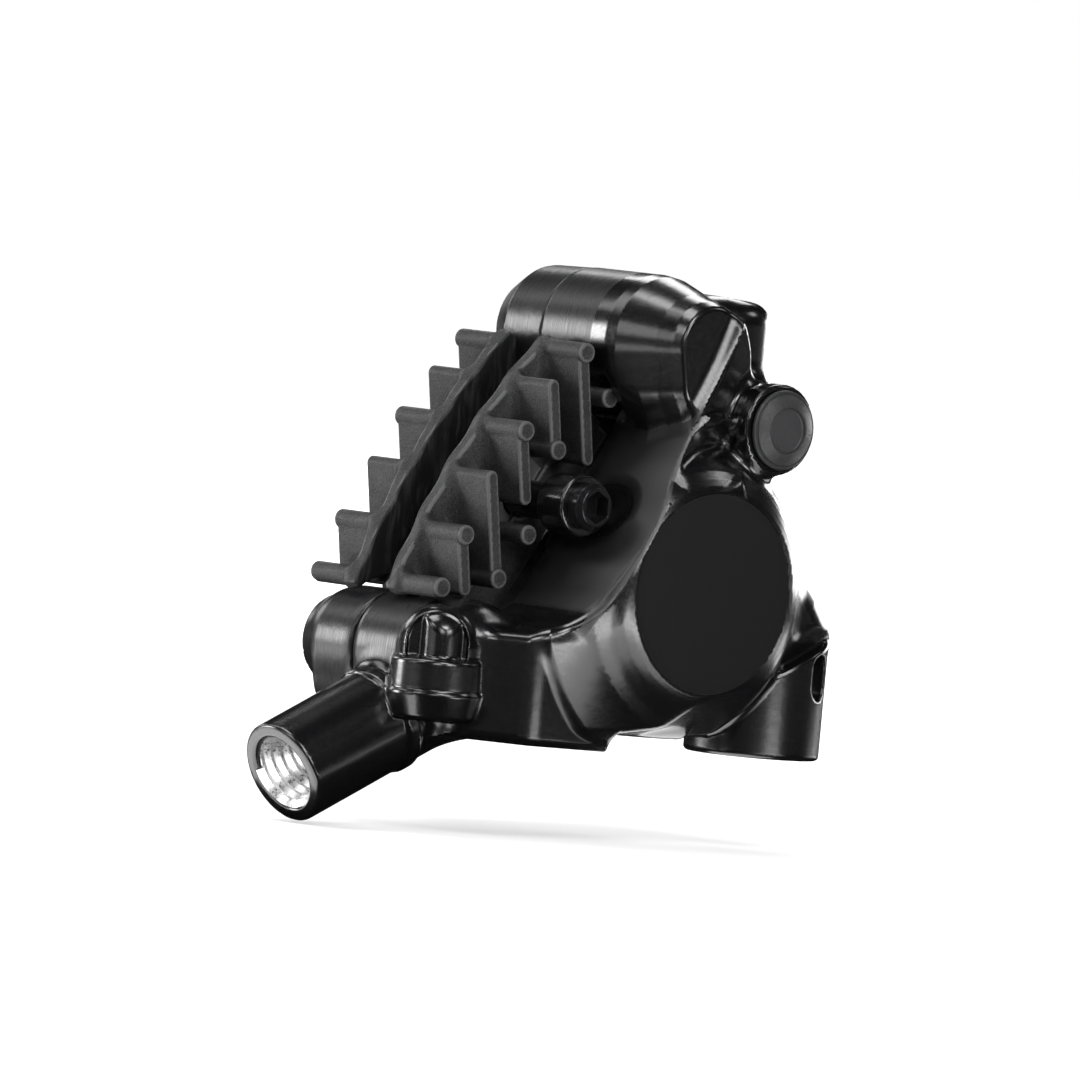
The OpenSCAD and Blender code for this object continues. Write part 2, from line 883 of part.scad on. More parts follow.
// Cooling plate: thin behind the backing plate, thick above it, with fins and posts
module cooler_top_outline() {
    intersection() {
        translate([0, -rotor_reach])
            circle(r = pad_top_r, $fn = 128);
        polygon([
            [-backing_half, backing_high + 1.2], [backing_half - 0.5, backing_high + 1.2],
            [backing_half - 0.5, 18.6], [15.5, 21.4], [15.5, 26],
            [-17.7, 26], [-17.7, 21.4], [-backing_half, 18.6]
        ]);
    }
}

function fin_end(i) = [
    fin_tops[i] + fin_lengths[i] * cos(fin_run),
    top_of(fin_tops[i]) - fin_t / 2 + fin_lengths[i] * sin(fin_run)
];

module fin_outline(i) {
    top = [fin_tops[i], top_of(fin_tops[i]) - fin_t / 2];
    tangent_link(top, fin_t / 2, fin_end(i), fin_t / 2);
}

module pad_fins(side) {
    root = cooler_at + 0.2;
    difference() {
        union() {
            pad_slab(side, cooler_at, cooler_back)
                intersection() {
                    backing_outline(0);
                    translate([-backing_half, backing_low + 3])
                        square([2 * backing_half, backing_high - backing_low]);
                }
            pad_slab(side, backing_at, backing_at + cooler_top_t)
                cooler_top_outline();
            pad_slab(side, cooler_at, cooler_back)
                translate([-backing_half + 0.4, 6])
                    square([2 * backing_half - 1, 8]);
            pad_slab(side, root, fin_reach)
                for (i = [0:len(fin_tops) - 1])
                    fin_outline(i);
            pad_slab(side, root, fin_reach + 0.2) {
                for (i = post_on_top)
                    translate([fin_tops[i], top_of(fin_tops[i]) - post_d / 2])
                        circle(d = post_d);
                for (i = post_on_bottom)
                    translate(fin_end(i))
                        circle(d = post_d);
                for (at = free_posts)
                    translate(at)
                        circle(d = post_d);
            }
        }
        pad_slab(side, lining_at, cooler_at)
            ear_outline(0.05);
        axle_hole(side);
    }
}

module outer_pad_fins() {
    color([0.2, 0.2, 0.21])
        pad_fins(1);
}

module inner_pad_fins() {
    color([0.2, 0.2, 0.21])
        pad_fins(-1);
}

// Leaf spring: a bridge under the axle and a leg at each end of each pad
module pad_spring() {
    leaf = 0.25;
    bridge_r = axle_r - axle_d / 2 - leaf - 0.05;
    leg_at = lining_half + 0.4;
    leg_w = backing_half - leg_at - 0.2;
    wide = backing_at;
    color([0.7, 0.7, 0.7]) {
        difference() {
            along_y(rotor_offset - wide, rotor_offset + wide)
                pad_frame()
                    translate([-leg_at - leg_w, bridge_r])
                        square([2 * (leg_at + leg_w), leaf]);
            along_y(rotor_offset - wide + 1.2, rotor_offset + wide - 1.2)
                pad_frame()
                    for (side = [-1, 1])
                        translate([side * 7 - 3.5, bridge_r - 1])
                            square([7, 3]);
        }
        for (side = [-1, 1])
            for (end = [-1, 1])
                pad_slab(side, wide - leaf, wide)
                    translate([end * (leg_at + leg_w / 2) - leg_w / 2, -6])
                        square([leg_w, bridge_r + 6.1]);
    }
}

// Pad axle with its socket and the groove for the clip
module pad_axle() {
    color([0.05, 0.05, 0.05])
    difference() {
        turned_y(axle_at)
            polygon([
                [0, axle_head_y], [axle_head_d / 2 - 0.5, axle_head_y],
                [axle_head_d / 2, axle_head_y + 0.5], [axle_head_d / 2, outer_lug_y],
                [axle_d / 2, outer_lug_y], [axle_d / 2, inner_lug_end + 0.1],
                [axle_d / 2 - clip_groove, inner_lug_end + 0.1],
                [axle_d / 2 - clip_groove, inner_lug_end + 0.1 + clip_t],
                [axle_d / 2, inner_lug_end + 0.1 + clip_t],
                [axle_d / 2, axle_end - 0.4], [axle_d / 2 - 0.4, axle_end], [0, axle_end]
            ]);
        translate([axle_at[0], axle_head_y - 1, axle_at[1]])
            rotate([-90, 30, 0])
                cylinder(h = 3, r = axle_socket / 2 / cos(30), $fn = 6);
    }
}

// Snap clip in the groove, open on the side away from the housing
module axle_clip() {
    color([0.6, 0.6, 0.6])
    along_y(inner_lug_end + 0.1, inner_lug_end + 0.1 + clip_t)
        translate(axle_at)
            rotate(pad_lean)
                difference() {
                    circle(r = axle_d / 2 + 0.8);
                    circle(r = axle_d / 2 - clip_groove);
                    translate([-1.1, 0])
                        square([2.2, 6]);
                }
}

module clamp_screw(at) {
    color([0.08, 0.08, 0.08])
    difference() {
        union() {
            rod_y(at, clamp_d / 2, clamp_thread_end + 0.6, inner_boss_y - clamp_head_h);
            rod_y(at, clamp_head_d / 2, inner_boss_y - clamp_head_h, inner_boss_y);
        }
        translate([at[0], inner_boss_y + 1, at[1]])
            rotate([90, 0, 0])
                cylinder(h = clamp_socket_deep + 1, r = clamp_socket / 2 / cos(30), $fn = 6);
    }
}

module rear_clamp_screw() {
    clamp_screw(rear_boss_at);
}

module front_clamp_screw() {
    clamp_screw(front_boss_at);
}

module passage_seal() {
    color([0.1, 0.1, 0.1])
        turned_y(passage_at)
            translate([passage_seal_r, rotor_offset - passage_seal_t])
                square([passage_seal_t - 0.02, passage_seal_t]);
}

// Hollow bleed nipple that stands in the recess of its boss
module bleed_nipple() {
    floor_y = bleed_face_y + cap_hole_deep;
    foot_y = floor_y - nipple_foot_t;
    color([0.6, 0.6, 0.6])
        turned_y(bleed_at)
            polygon([
                [nipple_bore_r, bleed_face_y + 0.4], [nipple_r - 0.5, bleed_face_y + 0.4],
                [nipple_r, bleed_face_y + 1], [nipple_r - 0.4, foot_y],
                [cap_plug_r, foot_y], [cap_plug_r, floor_y],
                [nipple_bore_r, floor_y]
            ]);
}

// Rubber cap with its raised rim, sunk middle and a skirt that plugs the recess
module bleed_cap() {
    cap_r = bleed_cap_d / 2;
    color([0.12, 0.12, 0.12])
        turned_y(bleed_at)
            polygon([
                [0, bleed_face_y - cap_t + 0.3], [2.6, bleed_face_y - cap_t + 0.3],
                [2.9, bleed_face_y - cap_t], [cap_r - 0.3, bleed_face_y - cap_t],
                [cap_r, bleed_face_y - cap_t + 0.3], [cap_r, bleed_face_y],
                [cap_plug_r - 0.1, bleed_face_y], [cap_plug_r - 0.1, bleed_face_y + 1.6],
                [cap_plug_r - 0.7, bleed_face_y + 1.6], [cap_plug_r - 0.7, bleed_face_y - 0.1],
                [0, bleed_face_y - 0.1]
            ]);
}

// Valve screw in the upright boss
module bleed_screw() {
    groove_at = valve_top - 3.6;
    color([0.1, 0.1, 0.11])
    difference() {
        translate([valve_at[0], valve_at[1], 0])
            rotate_extrude()
                polygon([
                    [0, valve_head_low + 0.3], [1.4, valve_head_low + 0.3],
                    [valve_d / 2, valve_head_low + 1.9], [valve_d / 2, groove_at],
                    [valve_d / 2 - 0.9, groove_at], [valve_d / 2 - 0.9, groove_at + 1],
                    [valve_d / 2, groove_at + 1], [valve_d / 2, valve_top - 0.8],
                    [valve_d / 2 - 0.4, valve_top - 0.4], [0, valve_top - 0.4]
                ]);
        translate([valve_at[0], valve_at[1], valve_top - 2.4])
            cylinder(h = 3, r = valve_socket / 2 / cos(30), $fn = 6);
    }
}

module bleed_screw_seal() {
    groove_at = valve_top - 3.6;
    color([0.1, 0.1, 0.1])
        translate([valve_at[0], valve_at[1], groove_at + 0.05])
            rotate_extrude()
                translate([valve_d / 2 - 0.88, 0])
                    square([0.88, 0.9]);
}

module passage_plug() {
    color([0.5, 0.5, 0.5])
        difference() {
            rod_y(plug_boss_at(), plug_d / 2, inner_boss_y - plug_deep, inner_boss_y + 1);
            translate([plug_boss_at()[0], inner_boss_y + 2, plug_boss_at()[1]])
                rotate([90, 0, 0])
                    cylinder(h = 2.4, r = plug_socket / 2 / cos(30), $fn = 6);
        }
}

outer_body();
inner_body();
outer_piston();
inner_piston();
outer_piston_seal();
inner_piston_seal();
outer_pad_plate();
inner_pad_plate();
outer_lining();
inner_lining();
outer_pad_fins();
inner_pad_fins();
pad_spring();
pad_axle();
axle_clip();
rear_clamp_screw();
front_clamp_screw();
passage_seal();
bleed_nipple();
bleed_cap();
bleed_screw();
bleed_screw_seal();
passage_plug();
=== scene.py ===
import math
import bmesh
import bpy
import numpy as np
from mathutils import Matrix, Vector


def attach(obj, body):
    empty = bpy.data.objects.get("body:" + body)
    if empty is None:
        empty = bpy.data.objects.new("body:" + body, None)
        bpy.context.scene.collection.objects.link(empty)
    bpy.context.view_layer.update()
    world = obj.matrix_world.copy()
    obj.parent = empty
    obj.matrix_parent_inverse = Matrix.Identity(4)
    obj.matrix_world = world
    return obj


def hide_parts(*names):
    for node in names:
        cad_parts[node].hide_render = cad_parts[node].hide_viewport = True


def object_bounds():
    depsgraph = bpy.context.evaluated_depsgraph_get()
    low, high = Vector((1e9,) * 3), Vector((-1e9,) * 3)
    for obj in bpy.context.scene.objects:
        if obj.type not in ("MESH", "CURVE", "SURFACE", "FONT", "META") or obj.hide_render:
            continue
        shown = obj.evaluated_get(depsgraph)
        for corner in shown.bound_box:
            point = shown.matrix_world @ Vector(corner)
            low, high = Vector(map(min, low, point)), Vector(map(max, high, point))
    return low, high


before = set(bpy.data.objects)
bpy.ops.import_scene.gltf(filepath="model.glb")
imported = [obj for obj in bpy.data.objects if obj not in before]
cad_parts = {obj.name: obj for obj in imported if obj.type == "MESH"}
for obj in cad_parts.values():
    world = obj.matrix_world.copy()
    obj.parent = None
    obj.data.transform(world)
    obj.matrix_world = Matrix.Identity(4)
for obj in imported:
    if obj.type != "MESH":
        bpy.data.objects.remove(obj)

CAD_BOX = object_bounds()

# Camera: it stands in front of the outer side, to the left, a little above the caliper, and is
# rolled slightly, as in the photograph. The long lens keeps the round housing face undistorted.
view_right = Vector((0.755, -0.656, 0.0))
view_up = Vector((0.0229, 0.0263, 0.9994))
view_ahead = Vector((0.6556, 0.7545, -0.0349))
image_x = 0.9957 * view_right + 0.0924 * view_up
image_y = -0.0924 * view_right + 0.9957 * view_up


def in_scene(name, data):
    thing = bpy.data.objects.new(name, data)
    bpy.context.collection.objects.link(thing)
    return thing


image_px = 1080
pixels_per_mm = 9.3
rear_foot_seat = Vector((0.017, 0.0, 0.0))
seat_px = (750, 755)
aside, above = image_px / 2 - seat_px[0], seat_px[1] - image_px / 2
aim = rear_foot_seat + (aside * image_x + above * image_y) / pixels_per_mm / 1000
stand_off = 1.6
sensor_mm = 36
lens_data = bpy.data.cameras.new("studio_camera")
lens_data.sensor_width = sensor_mm
lens_data.lens = sensor_mm * stand_off / (image_px / pixels_per_mm / 1000)
lens_data.clip_end = 20
camera = in_scene("studio_camera", lens_data)
turn = Matrix((image_x, image_y, -view_ahead)).transposed().to_4x4()
camera.matrix_world = Matrix.Translation(aim - view_ahead * stand_off) @ turn
bpy.context.scene.camera = camera

# Studio: a white room and floor that the camera, gloss and glass see, soft lamps all round,
# panels let into the table, and dark cards that give the black paint its deep tones.
scene = bpy.context.scene
scene.view_settings.view_transform = "Standard"
full_white = (1, 1, 1, 1)


def seen_directly(tree):
    """Gives 1 for camera, glossy and transmission rays, and 0 for light that falls on things."""
    ray = tree.nodes.new("ShaderNodeLightPath")
    share = ray.outputs["Is Camera Ray"]
    for kind in ("Is Glossy Ray", "Is Transmission Ray"):
        either = tree.nodes.new("ShaderNodeMath")
        either.operation = "MAXIMUM"
        tree.links.new(share, either.inputs[0])
        tree.links.new(ray.outputs[kind], either.inputs[1])
        share = either.outputs[0]
    return share


room = bpy.data.worlds.new("studio_room")
scene.world = room
room.use_nodes = True
room_tree = room.node_tree
room_tree.nodes.clear()
shown = room_tree.nodes.new("ShaderNodeMixShader")
room_tree.links.new(seen_directly(room_tree), shown.inputs[0])
for socket, strength in ((1, 0.05), (2, 1.0)):
    wall = room_tree.nodes.new("ShaderNodeBackground")
    wall.inputs["Color"].default_value = full_white
    wall.inputs["Strength"].default_value = strength
    room_tree.links.new(wall.outputs[0], shown.inputs[socket])
world_out = room_tree.nodes.new("ShaderNodeOutputWorld")
room_tree.links.new(shown.outputs[0], world_out.inputs["Surface"])


def matt(name, grey):
    material = bpy.data.materials.new(name)
    material.use_nodes = True
    face = material.node_tree.nodes["Principled BSDF"]
    face.inputs["Base Color"].default_value = (grey, grey, grey, 1)
    face.inputs["Roughness"].default_value = 1.0
    face.inputs["Specular IOR Level"].default_value = 0.0
    return material, face


def stage_object(name, points, faces, material):
    mesh = bpy.data.meshes.new(name)
    mesh.from_pydata(points, [], faces)
    mesh.materials.append(material)
    thing = in_scene(name, mesh)
    return thing


# The floor glows less close to the caliper, so that its shadow stays
pale, paper = matt("studio_white", 0.8)
paper.inputs["Emission Color"].default_value = full_white
floor_tree = pale.node_tree
middle = floor_tree.nodes.new("ShaderNodeTexCoord")
far_off = floor_tree.nodes.new("ShaderNodeVectorMath")
far_off.operation = "LENGTH"
floor_tree.links.new(middle.outputs["Object"], far_off.inputs[0])
whiter = floor_tree.nodes.new("ShaderNodeMapRange")
for key, value in (("From Min", 0.1), ("From Max", 0.6), ("To Min", 0.45), ("To Max", 1.0)):
    whiter.inputs[key].default_value = value
floor_tree.links.new(far_off.outputs["Value"], whiter.inputs["Value"])
glow = floor_tree.nodes.new("ShaderNodeMath")
glow.operation = "MULTIPLY"
floor_tree.links.new(seen_directly(floor_tree), glow.inputs[0])
floor_tree.links.new(whiter.outputs["Result"], glow.inputs[1])
floor_tree.links.new(glow.outputs[0], paper.inputs["Emission Strength"])
floor_z = CAD_BOX[0].z - 0.0004
floor_half = 6
stage_object("studio_floor", [
    (x * floor_half, y * floor_half, floor_z) for x, y in ((-1, -1), (1, -1), (1, 1), (-1, 1))],
    [(0, 1, 2, 3)], pale)

lamp_reach = 1.2


def lamp_panel(name, wide, tall, glow):
    lamp = bpy.data.lights.new(name, "AREA")
    lamp.shape = "RECTANGLE"
    lamp.size, lamp.size_y = wide, tall
    lamp.energy = glow * math.pi * lamp.size * lamp.size_y
    return in_scene(name, lamp)


# Softboxes: name, bearing and height in degrees, width and height in degrees, glow
for name, bearing, lift, wide, tall, glow in (
        ("top_box", 150, 74, 84, 20, 6.0), ("back_top_box", 124, 46, 28, 30, 2.4),
        ("left_box", 187, 36, 18, 16, 6.5), ("left_low_box", 168, 18, 20, 18, 2.4),
        ("front_left_box", 234, 20, 18, 16, 5.0), ("front_box", 269, 20, 20, 16, 7.5),
        ("crest_box", 255, 43, 24, 18, 10.0), ("lip_box", 332, 39, 18, 12, 4.0),
        ("right_low_box", 14, 3, 34, 18, 6.8), ("right_back_box", 48, 40, 32, 20, 5.6),
        ("horizon_box", 50, 3, 34, 9, 1.3), ("back_box", 92, 20, 20, 16, 3.6),
        ("band_box", 129, 4, 18, 22, 14.0)):
    bearing, lift = math.radians(bearing), math.radians(lift)
    level = math.cos(lift)
    way = Vector((level * math.cos(bearing), level * math.sin(bearing), math.sin(lift)))
    box = lamp_panel(name, 2 * lamp_reach * level * math.tan(math.radians(wide) / 2),
                     2 * lamp_reach * math.tan(math.radians(tall) / 2), glow)
    box.location = aim + lamp_reach * way
    box.rotation_euler = (-way).to_track_quat("-Z", "Y").to_euler()

# Panels in the table, which face up: name, place and size in metres, turn in degrees, glow
for name, place, size, bearing, glow in (
        ("front_table", (0.0, -0.135), (0.054, 0.09), 0, 8.2),
        ("near_table", (0.0, -0.068), (0.056, 0.045), 0, 2.2),
        ("right_table", (0.135, -0.01), (0.09, 0.07), 0, 2.5),
        ("left_table", (-0.315, 0.03), (0.27, 0.16), 0, 2.0),
        ("back_left_table", (-0.0955, 0.0955), (0.054, 0.09), 45, 5.2),
        ("port_table", (-0.06, 0.014), (0.03, 0.04), 0, 3.2),
        ("under_table", (0.008, -0.004), (0.016, 0.02), 0, 3.0)):
    panel = lamp_panel(name, *size, glow)
    panel.location = (*place, CAD_BOX[0].z + 0.0002)
    panel.rotation_euler = (math.pi, 0, math.radians(bearing))
    panel.visible_camera = False

card_black, _ = matt("card_black", 0.015)
tent_r, tent_low, tent_top, tent_sides = 2.2, 0.02, 1.6, 24
ring = [(tent_r * math.cos(a / tent_sides * math.tau), tent_r * math.sin(a / tent_sides * math.tau))
        for a in range(tent_sides)]
tent_faces = [(i, (i + 1) % tent_sides, tent_sides + (i + 1) % tent_sides, tent_sides + i)
              for i in range(tent_sides)] + [tuple(range(tent_sides, 2 * tent_sides))]
tent_points = [(x, y, tent_low) for x, y in ring] + [(x, y, tent_top) for x, y in ring]
black_tent = stage_object("black_tent", tent_points, tent_faces, card_black)
card_points = [(x, y, CAD_BOX[0].z - 0.0002) for x, y in ring]
black_floor_card = stage_object("black_floor_card", card_points, [tuple(range(tent_sides))],
                                card_black)
for card in (black_tent, black_floor_card):
    card.visible_camera = False
    card.visible_diffuse = False
    card.visible_shadow = False

# Outer casting: one aluminium casting with the round housing, the crest, both clamp bridges, the
# feet, the hose port and the bleed bosses. It is cast, machined at the parting plane and in its
# bores, and painted gloss black. Its form is a distance field, in mm, meshed and then smoothed.
pad_lean = math.radians(55.8)
lean_c, lean_s = math.cos(pad_lean), math.sin(pad_lean)
housing_at = (-1.1, 17.6)


def pad_point(t, r):
    return (housing_at[0] + t * lean_c - r * lean_s, housing_at[1] + t * lean_s + r * lean_c)


def pad_t(x, z):
    return (x - housing_at[0]) * lean_c + (z - housing_at[1]) * lean_s


def pad_r(x, z):
    return (z - housing_at[1]) * lean_c - (x - housing_at[0]) * lean_s


def edge_gap(points, closed, a, b):
    best = None
    ends = list(zip(points, points[1:] + points[:1]))
    for (a0, b0), (a1, b1) in ends if closed else ends[:-1]:
        ea, eb = a1 - a0, b1 - b0
        h = np.clip(((a - a0) * ea + (b - b0) * eb) / (ea * ea + eb * eb), 0, 1)
        gap = (a - a0 - ea * h) ** 2 + (b - b0 - eb * h) ** 2
        best = gap if best is None else np.minimum(best, gap)
    inside = False
    for (a0, b0), (a1, b1) in ends:
        if b0 != b1:
            crossed = a < (a1 - a0) * (b - b0) / (b1 - b0) + a0
            inside = inside ^ (((b0 > b) != (b1 > b)) & crossed)
    return np.where(inside, -1, 1) * np.sqrt(best)


def both(p, q, edge):
    return (np.minimum(np.maximum(p, q) + edge, 0) - edge
            + np.hypot(np.maximum(p + edge, 0), np.maximum(q + edge, 0)))


def join(p, q, fillet):
    return np.maximum(fillet, np.minimum(p, q)) - np.hypot(np.maximum(fillet - p, 0),
                                                         np.maximum(fillet - q, 0))


def trim(p, q, edge):
    return np.minimum(-edge, np.maximum(p, q)) + np.hypot(np.maximum(edge + p, 0),
                                                        np.maximum(edge + q, 0))


# Each shape gives its distance field and the box that it fills
def rod(start, end, r0, r1=None, edge=0.3):
    r1 = r0 if r1 is None else r1
    start, end = np.array(start, float), np.array(end, float)
    length = np.linalg.norm(end - start)
    way = (end - start) / length
    slope = math.cos(math.atan2(r1 - r0, length))

    def field(x, y, z):
        dx, dy, dz = x - start[0], y - start[1], z - start[2]
        h = dx * way[0] + dy * way[1] + dz * way[2]
        across = np.sqrt(np.maximum(dx * dx + dy * dy + dz * dz - h * h, 0))
        side = (across - r0 - (r1 - r0) * h / length) * slope
        return both(side, np.abs(h - length / 2) - length / 2, edge)
    r = max(r0, r1)
    return field, np.minimum(start, end) - r, np.maximum(start, end) + r


def rod_y(at, r, y0, y1, edge=0.3):
    return rod((at[0], y0, at[1]), (at[0], y1, at[1]), r, edge=edge)


# Leaned points are given along the pad and away from the rotor, others in x and z
def prism(points, y0, y1, edge=0.3, leaned=False):
    def field(x, y, z):
        a, b = (pad_t(x, z), pad_r(x, z)) if leaned else (x, z)
        return both(edge_gap(points, True, a, b), np.abs(y - (y0 + y1) / 2) - (y1 - y0) / 2, edge)
    corners = np.array([pad_point(*p) if leaned else p for p in points])
    low, high = corners.min(0), corners.max(0)
    return field, np.array([low[0], y0, low[1]]), np.array([high[0], y1, high[1]])


def pad_prism(points, y0, y1, edge):
    return prism(points, y0, y1, edge, leaned=True)


def turned(at, points):
    def field(x, y, z):
        return edge_gap(points, False, np.hypot(x - at[0], z - at[1]), y)
    r = max(p[0] for p in points)
    ys = [p[1] for p in points]
    low = np.array([at[0] - r, min(ys), at[1] - r])
    return field, low, np.array([at[0] + r, max(ys), at[1] + r])


def link(a, ra, b, rb, y0, y1, edge=0.3):
    ax, az = a
    ux, uz = b[0] - ax, b[1] - az
    span = math.hypot(ux, uz)
    ux, uz = ux / span, uz / span
    lean = (ra - rb) / span
    rise = math.sqrt(1 - lean * lean)

    def field(x, y, z):
        along = (x - ax) * ux + (z - az) * uz
        off = np.abs((x - ax) * uz - (z - az) * ux)
        k = along * rise - off * lean
        flat = np.where(k < 0, np.hypot(along, off) - ra,
                        np.where(k > span * rise, np.hypot(along - span, off) - rb,
                                 along * lean + off * rise - ra))
        return both(flat, np.abs(y - (y0 + y1) / 2) - (y1 - y0) / 2, edge)
    low = np.array([min(ax - ra, b[0] - rb), y0, min(az - ra, b[1] - rb)])
    return field, low, np.array([max(ax + ra, b[0] + rb), y1, max(az + ra, b[1] + rb)])


def ball(centre, r, squeeze=(1, 1, 1)):
    def field(x, y, z):
        sx, sy, sz = ((v - c) / q for v, c, q in zip((x, y, z), centre, squeeze))
        return (np.sqrt(sx * sx + sy * sy + sz * sz) - r) * min(squeeze)
    reach = r * np.array(squeeze, float)
    return field, np.array(centre) - reach, np.array(centre) + reach


def pad_ball(centre, semi):
    def field(x, y, z):
        place = (pad_t(x, z), y, pad_r(x, z))
        parts = [(v - c) / q for v, c, q in zip(place, centre, semi)]
        far = np.sqrt(sum(v * v for v in parts))
        steep = np.sqrt(sum((v / q) ** 2 for v, q in zip(parts, semi)))
        return far * (far - 1) / np.maximum(steep, 1e-6)
    at = pad_point(centre[0], centre[2])
    reach = math.hypot(semi[0], semi[2])
    low = np.array([at[0] - reach, centre[1] - semi[1], at[1] - reach])
    return field, low, np.array([at[0] + reach, centre[1] + semi[1], at[1] + reach])


open_air = 9.0
margin = 1


class Cast:
    """A body built up of shapes, each added with a fillet or cut out with a rounded edge."""

    def __init__(self):
        self.steps = []

    def add(self, shape, fillet=0.5):
        self.steps.append((join, 1, shape, fillet))

    def cut(self, shape, edge=0.25):
        self.steps.append((trim, -1, shape, edge))

    def keep(self, field, edge=0.3):
        self.steps.append((trim, 1, (field, None, None), edge))

    def grid(self, x, y, z):
        body = np.full((len(x), len(y), len(z)), open_air, np.float32)
        for blend, sign, (field, low, high), soft in self.steps:
            window = [slice(0, len(v)) for v in (x, y, z)]
            if low is not None:
                window = [slice(*np.searchsorted(v, (lo - soft - margin, hi + soft + margin)))
                          for v, lo, hi in zip((x, y, z), low, high)]
            wx, wy, wz = x[window[0]], y[window[1]], z[window[2]]
            part = field(wx[:, None, None], wy[None, :, None], wz[None, None, :])
            body[tuple(window)] = blend(body[tuple(window)], sign * part, soft)
        return body

    def at(self, p):
        body = np.full(len(p), open_air)
        for blend, sign, (field, low, high), soft in self.steps:
            if low is None:
                near = slice(None)
            else:
                near = np.all((p > low - soft - margin) & (p < high + soft + margin), axis=1)
                if not near.any():
                    continue
            q = p[near]
            body[near] = blend(body[near], sign * field(q[:, 0], q[:, 1], q[:, 2]), soft)
        return body

    def slope(self, p, reach=0.02):
        rise = [self.at(p + d) - self.at(p - d) for d in reach * np.eye(3)]
        return np.stack(rise, 1) / (2 * reach)


off_grid = 0.0137


# Meshes a body: one point in each grid cell that its surface crosses, then drawn onto the surface
def surface(cast, low, high, step):
    axes = [np.arange(lo, hi + step, step) + off_grid for lo, hi in zip(low, high)]
    body = cast.grid(*axes)
    solid = body < 0
    near = sum(solid[i:solid.shape[0] - 1 + i, j:solid.shape[1] - 1 + j, k:solid.shape[2] - 1 + k]
               .astype(np.uint8) for i in (0, 1) for j in (0, 1) for k in (0, 1))
    cells = np.argwhere((near > 0) & (near < 8))
    number = np.full(near.shape, -1, np.int64)
    number[tuple(cells.T)] = np.arange(len(cells))
    total = np.zeros((len(cells), 3))
    count = np.zeros(len(cells))
    corners = [np.array((i, j, k)) for i in (0, 1) for j in (0, 1) for k in (0, 1)]
    value = {tuple(c): body[tuple((cells + c).T)] for c in corners}
    for c in corners:
        for axis in range(3):
            if c[axis] == 0:
                e = c.copy()
                e[axis] = 1
                v0, v1 = value[tuple(c)], value[tuple(e)]
                crossed = (v0 < 0) != (v1 < 0)
                part = np.where(crossed, v0 / np.where(crossed, v0 - v1, 1), 0)
                total += crossed[:, None] * (c + part[:, None] * (e - c))
                count += crossed
    points = np.array([a[0] for a in axes]) + (cells + total / count[:, None]) * step
    faces = []
    for axis in range(3):
        side_a, side_b = [s for s in range(3) if s != axis]
        span = [slice(1, n - 1) for n in solid.shape]
        span[axis] = slice(0, solid.shape[axis] - 1)
        up = list(span)
        up[axis] = slice(1, solid.shape[axis])
        here, there = solid[tuple(span)], solid[tuple(up)]
        for way in (0, 1):
            edges = np.argwhere((here != there) & (here if way else there))
            edges += np.array([s.start for s in span])
            ring = []
            for da, db in ((-1, -1), (0, -1), (0, 0), (-1, 0)):
                cell = edges.copy()
                cell[:, side_a] += da
                cell[:, side_b] += db
                ring.append(number[tuple(cell.T)])
            quad = np.stack(ring, 1)
            faces.append(quad if way == (axis != 1) else quad[:, ::-1])
    faces = np.concatenate(faces)
    for _ in range(3):
        off, rise = cast.at(points), cast.slope(points)
        move = -off[:, None] * rise / np.maximum((rise * rise).sum(1), 0.2)[:, None]
        points += np.clip(move, -step / 2, step / 2)
    return points, faces


def quad_mesh(name, points, faces):
    mesh = bpy.data.meshes.new(name)
    mesh.vertices.add(len(points))
    mesh.vertices.foreach_set("co", (points / 1000).ravel())
    mesh.loops.add(4 * len(faces))
    mesh.loops.foreach_set("vertex_index", faces.ravel())
    mesh.polygons.add(len(faces))
    mesh.polygons.foreach_set("loop_start", np.arange(0, 4 * len(faces), 4))
    mesh.update(calc_edges=True)
    mesh.validate()
    return mesh


def points_mm(mesh):
    at = np.empty(3 * len(mesh.vertices))
    mesh.vertices.foreach_get("co", at)
    return at.reshape(-1, 3) * 1000


# Shading follows the body's own slope at each point, turned over for a mirrored piece
def true_normals(mesh, cast, at, sides=(1, 1, 1)):
    rise = cast.slope(at) * np.array(sides)
    rise /= np.maximum(np.linalg.norm(rise, axis=1), 1e-6)[:, None]
    mesh.normals_split_custom_set_from_vertices(rise.tolist())
    return rise


probe_mm = 0.35
edge_highlight_band = 0.05


# This attribute is 1 where the metal is thin under the skin, so on edges, and 0 elsewhere; the fin
# finish paints these edges lighter, a painted highlight that also stands for edge wear.
def cast_piece(name, cast, low, high, step, triangles, coating):
    points, faces = surface(cast, low, high, step)
    piece = in_scene(name, quad_mesh(name, points, faces))
    if 2 * len(faces) > triangles:
        thin = piece.modifiers.new("thin", "DECIMATE")
        thin.ratio = triangles / (2 * len(faces))
        shape = bpy.context.evaluated_depsgraph_get()
        fewer = bpy.data.meshes.new_from_object(piece.evaluated_get(shape))
        piece.modifiers.clear()
        piece.data = fewer
    mesh = piece.data
    mesh.materials.clear()
    mesh.materials.append(coating)
    mesh.polygons.foreach_set("use_smooth", np.ones(len(mesh.polygons), bool))
    at = points_mm(mesh)
    sunk = cast.at(at - probe_mm * true_normals(mesh, cast, at))
    edge_wear_and_highlight_layer = mesh.attributes.new("edge_wear_and_highlight", "FLOAT", "POINT")
    edge_wear_and_highlight_layer.data.foreach_set("value", np.clip((sunk + probe_mm) / edge_highlight_band, 0, 1).ravel())
    return piece


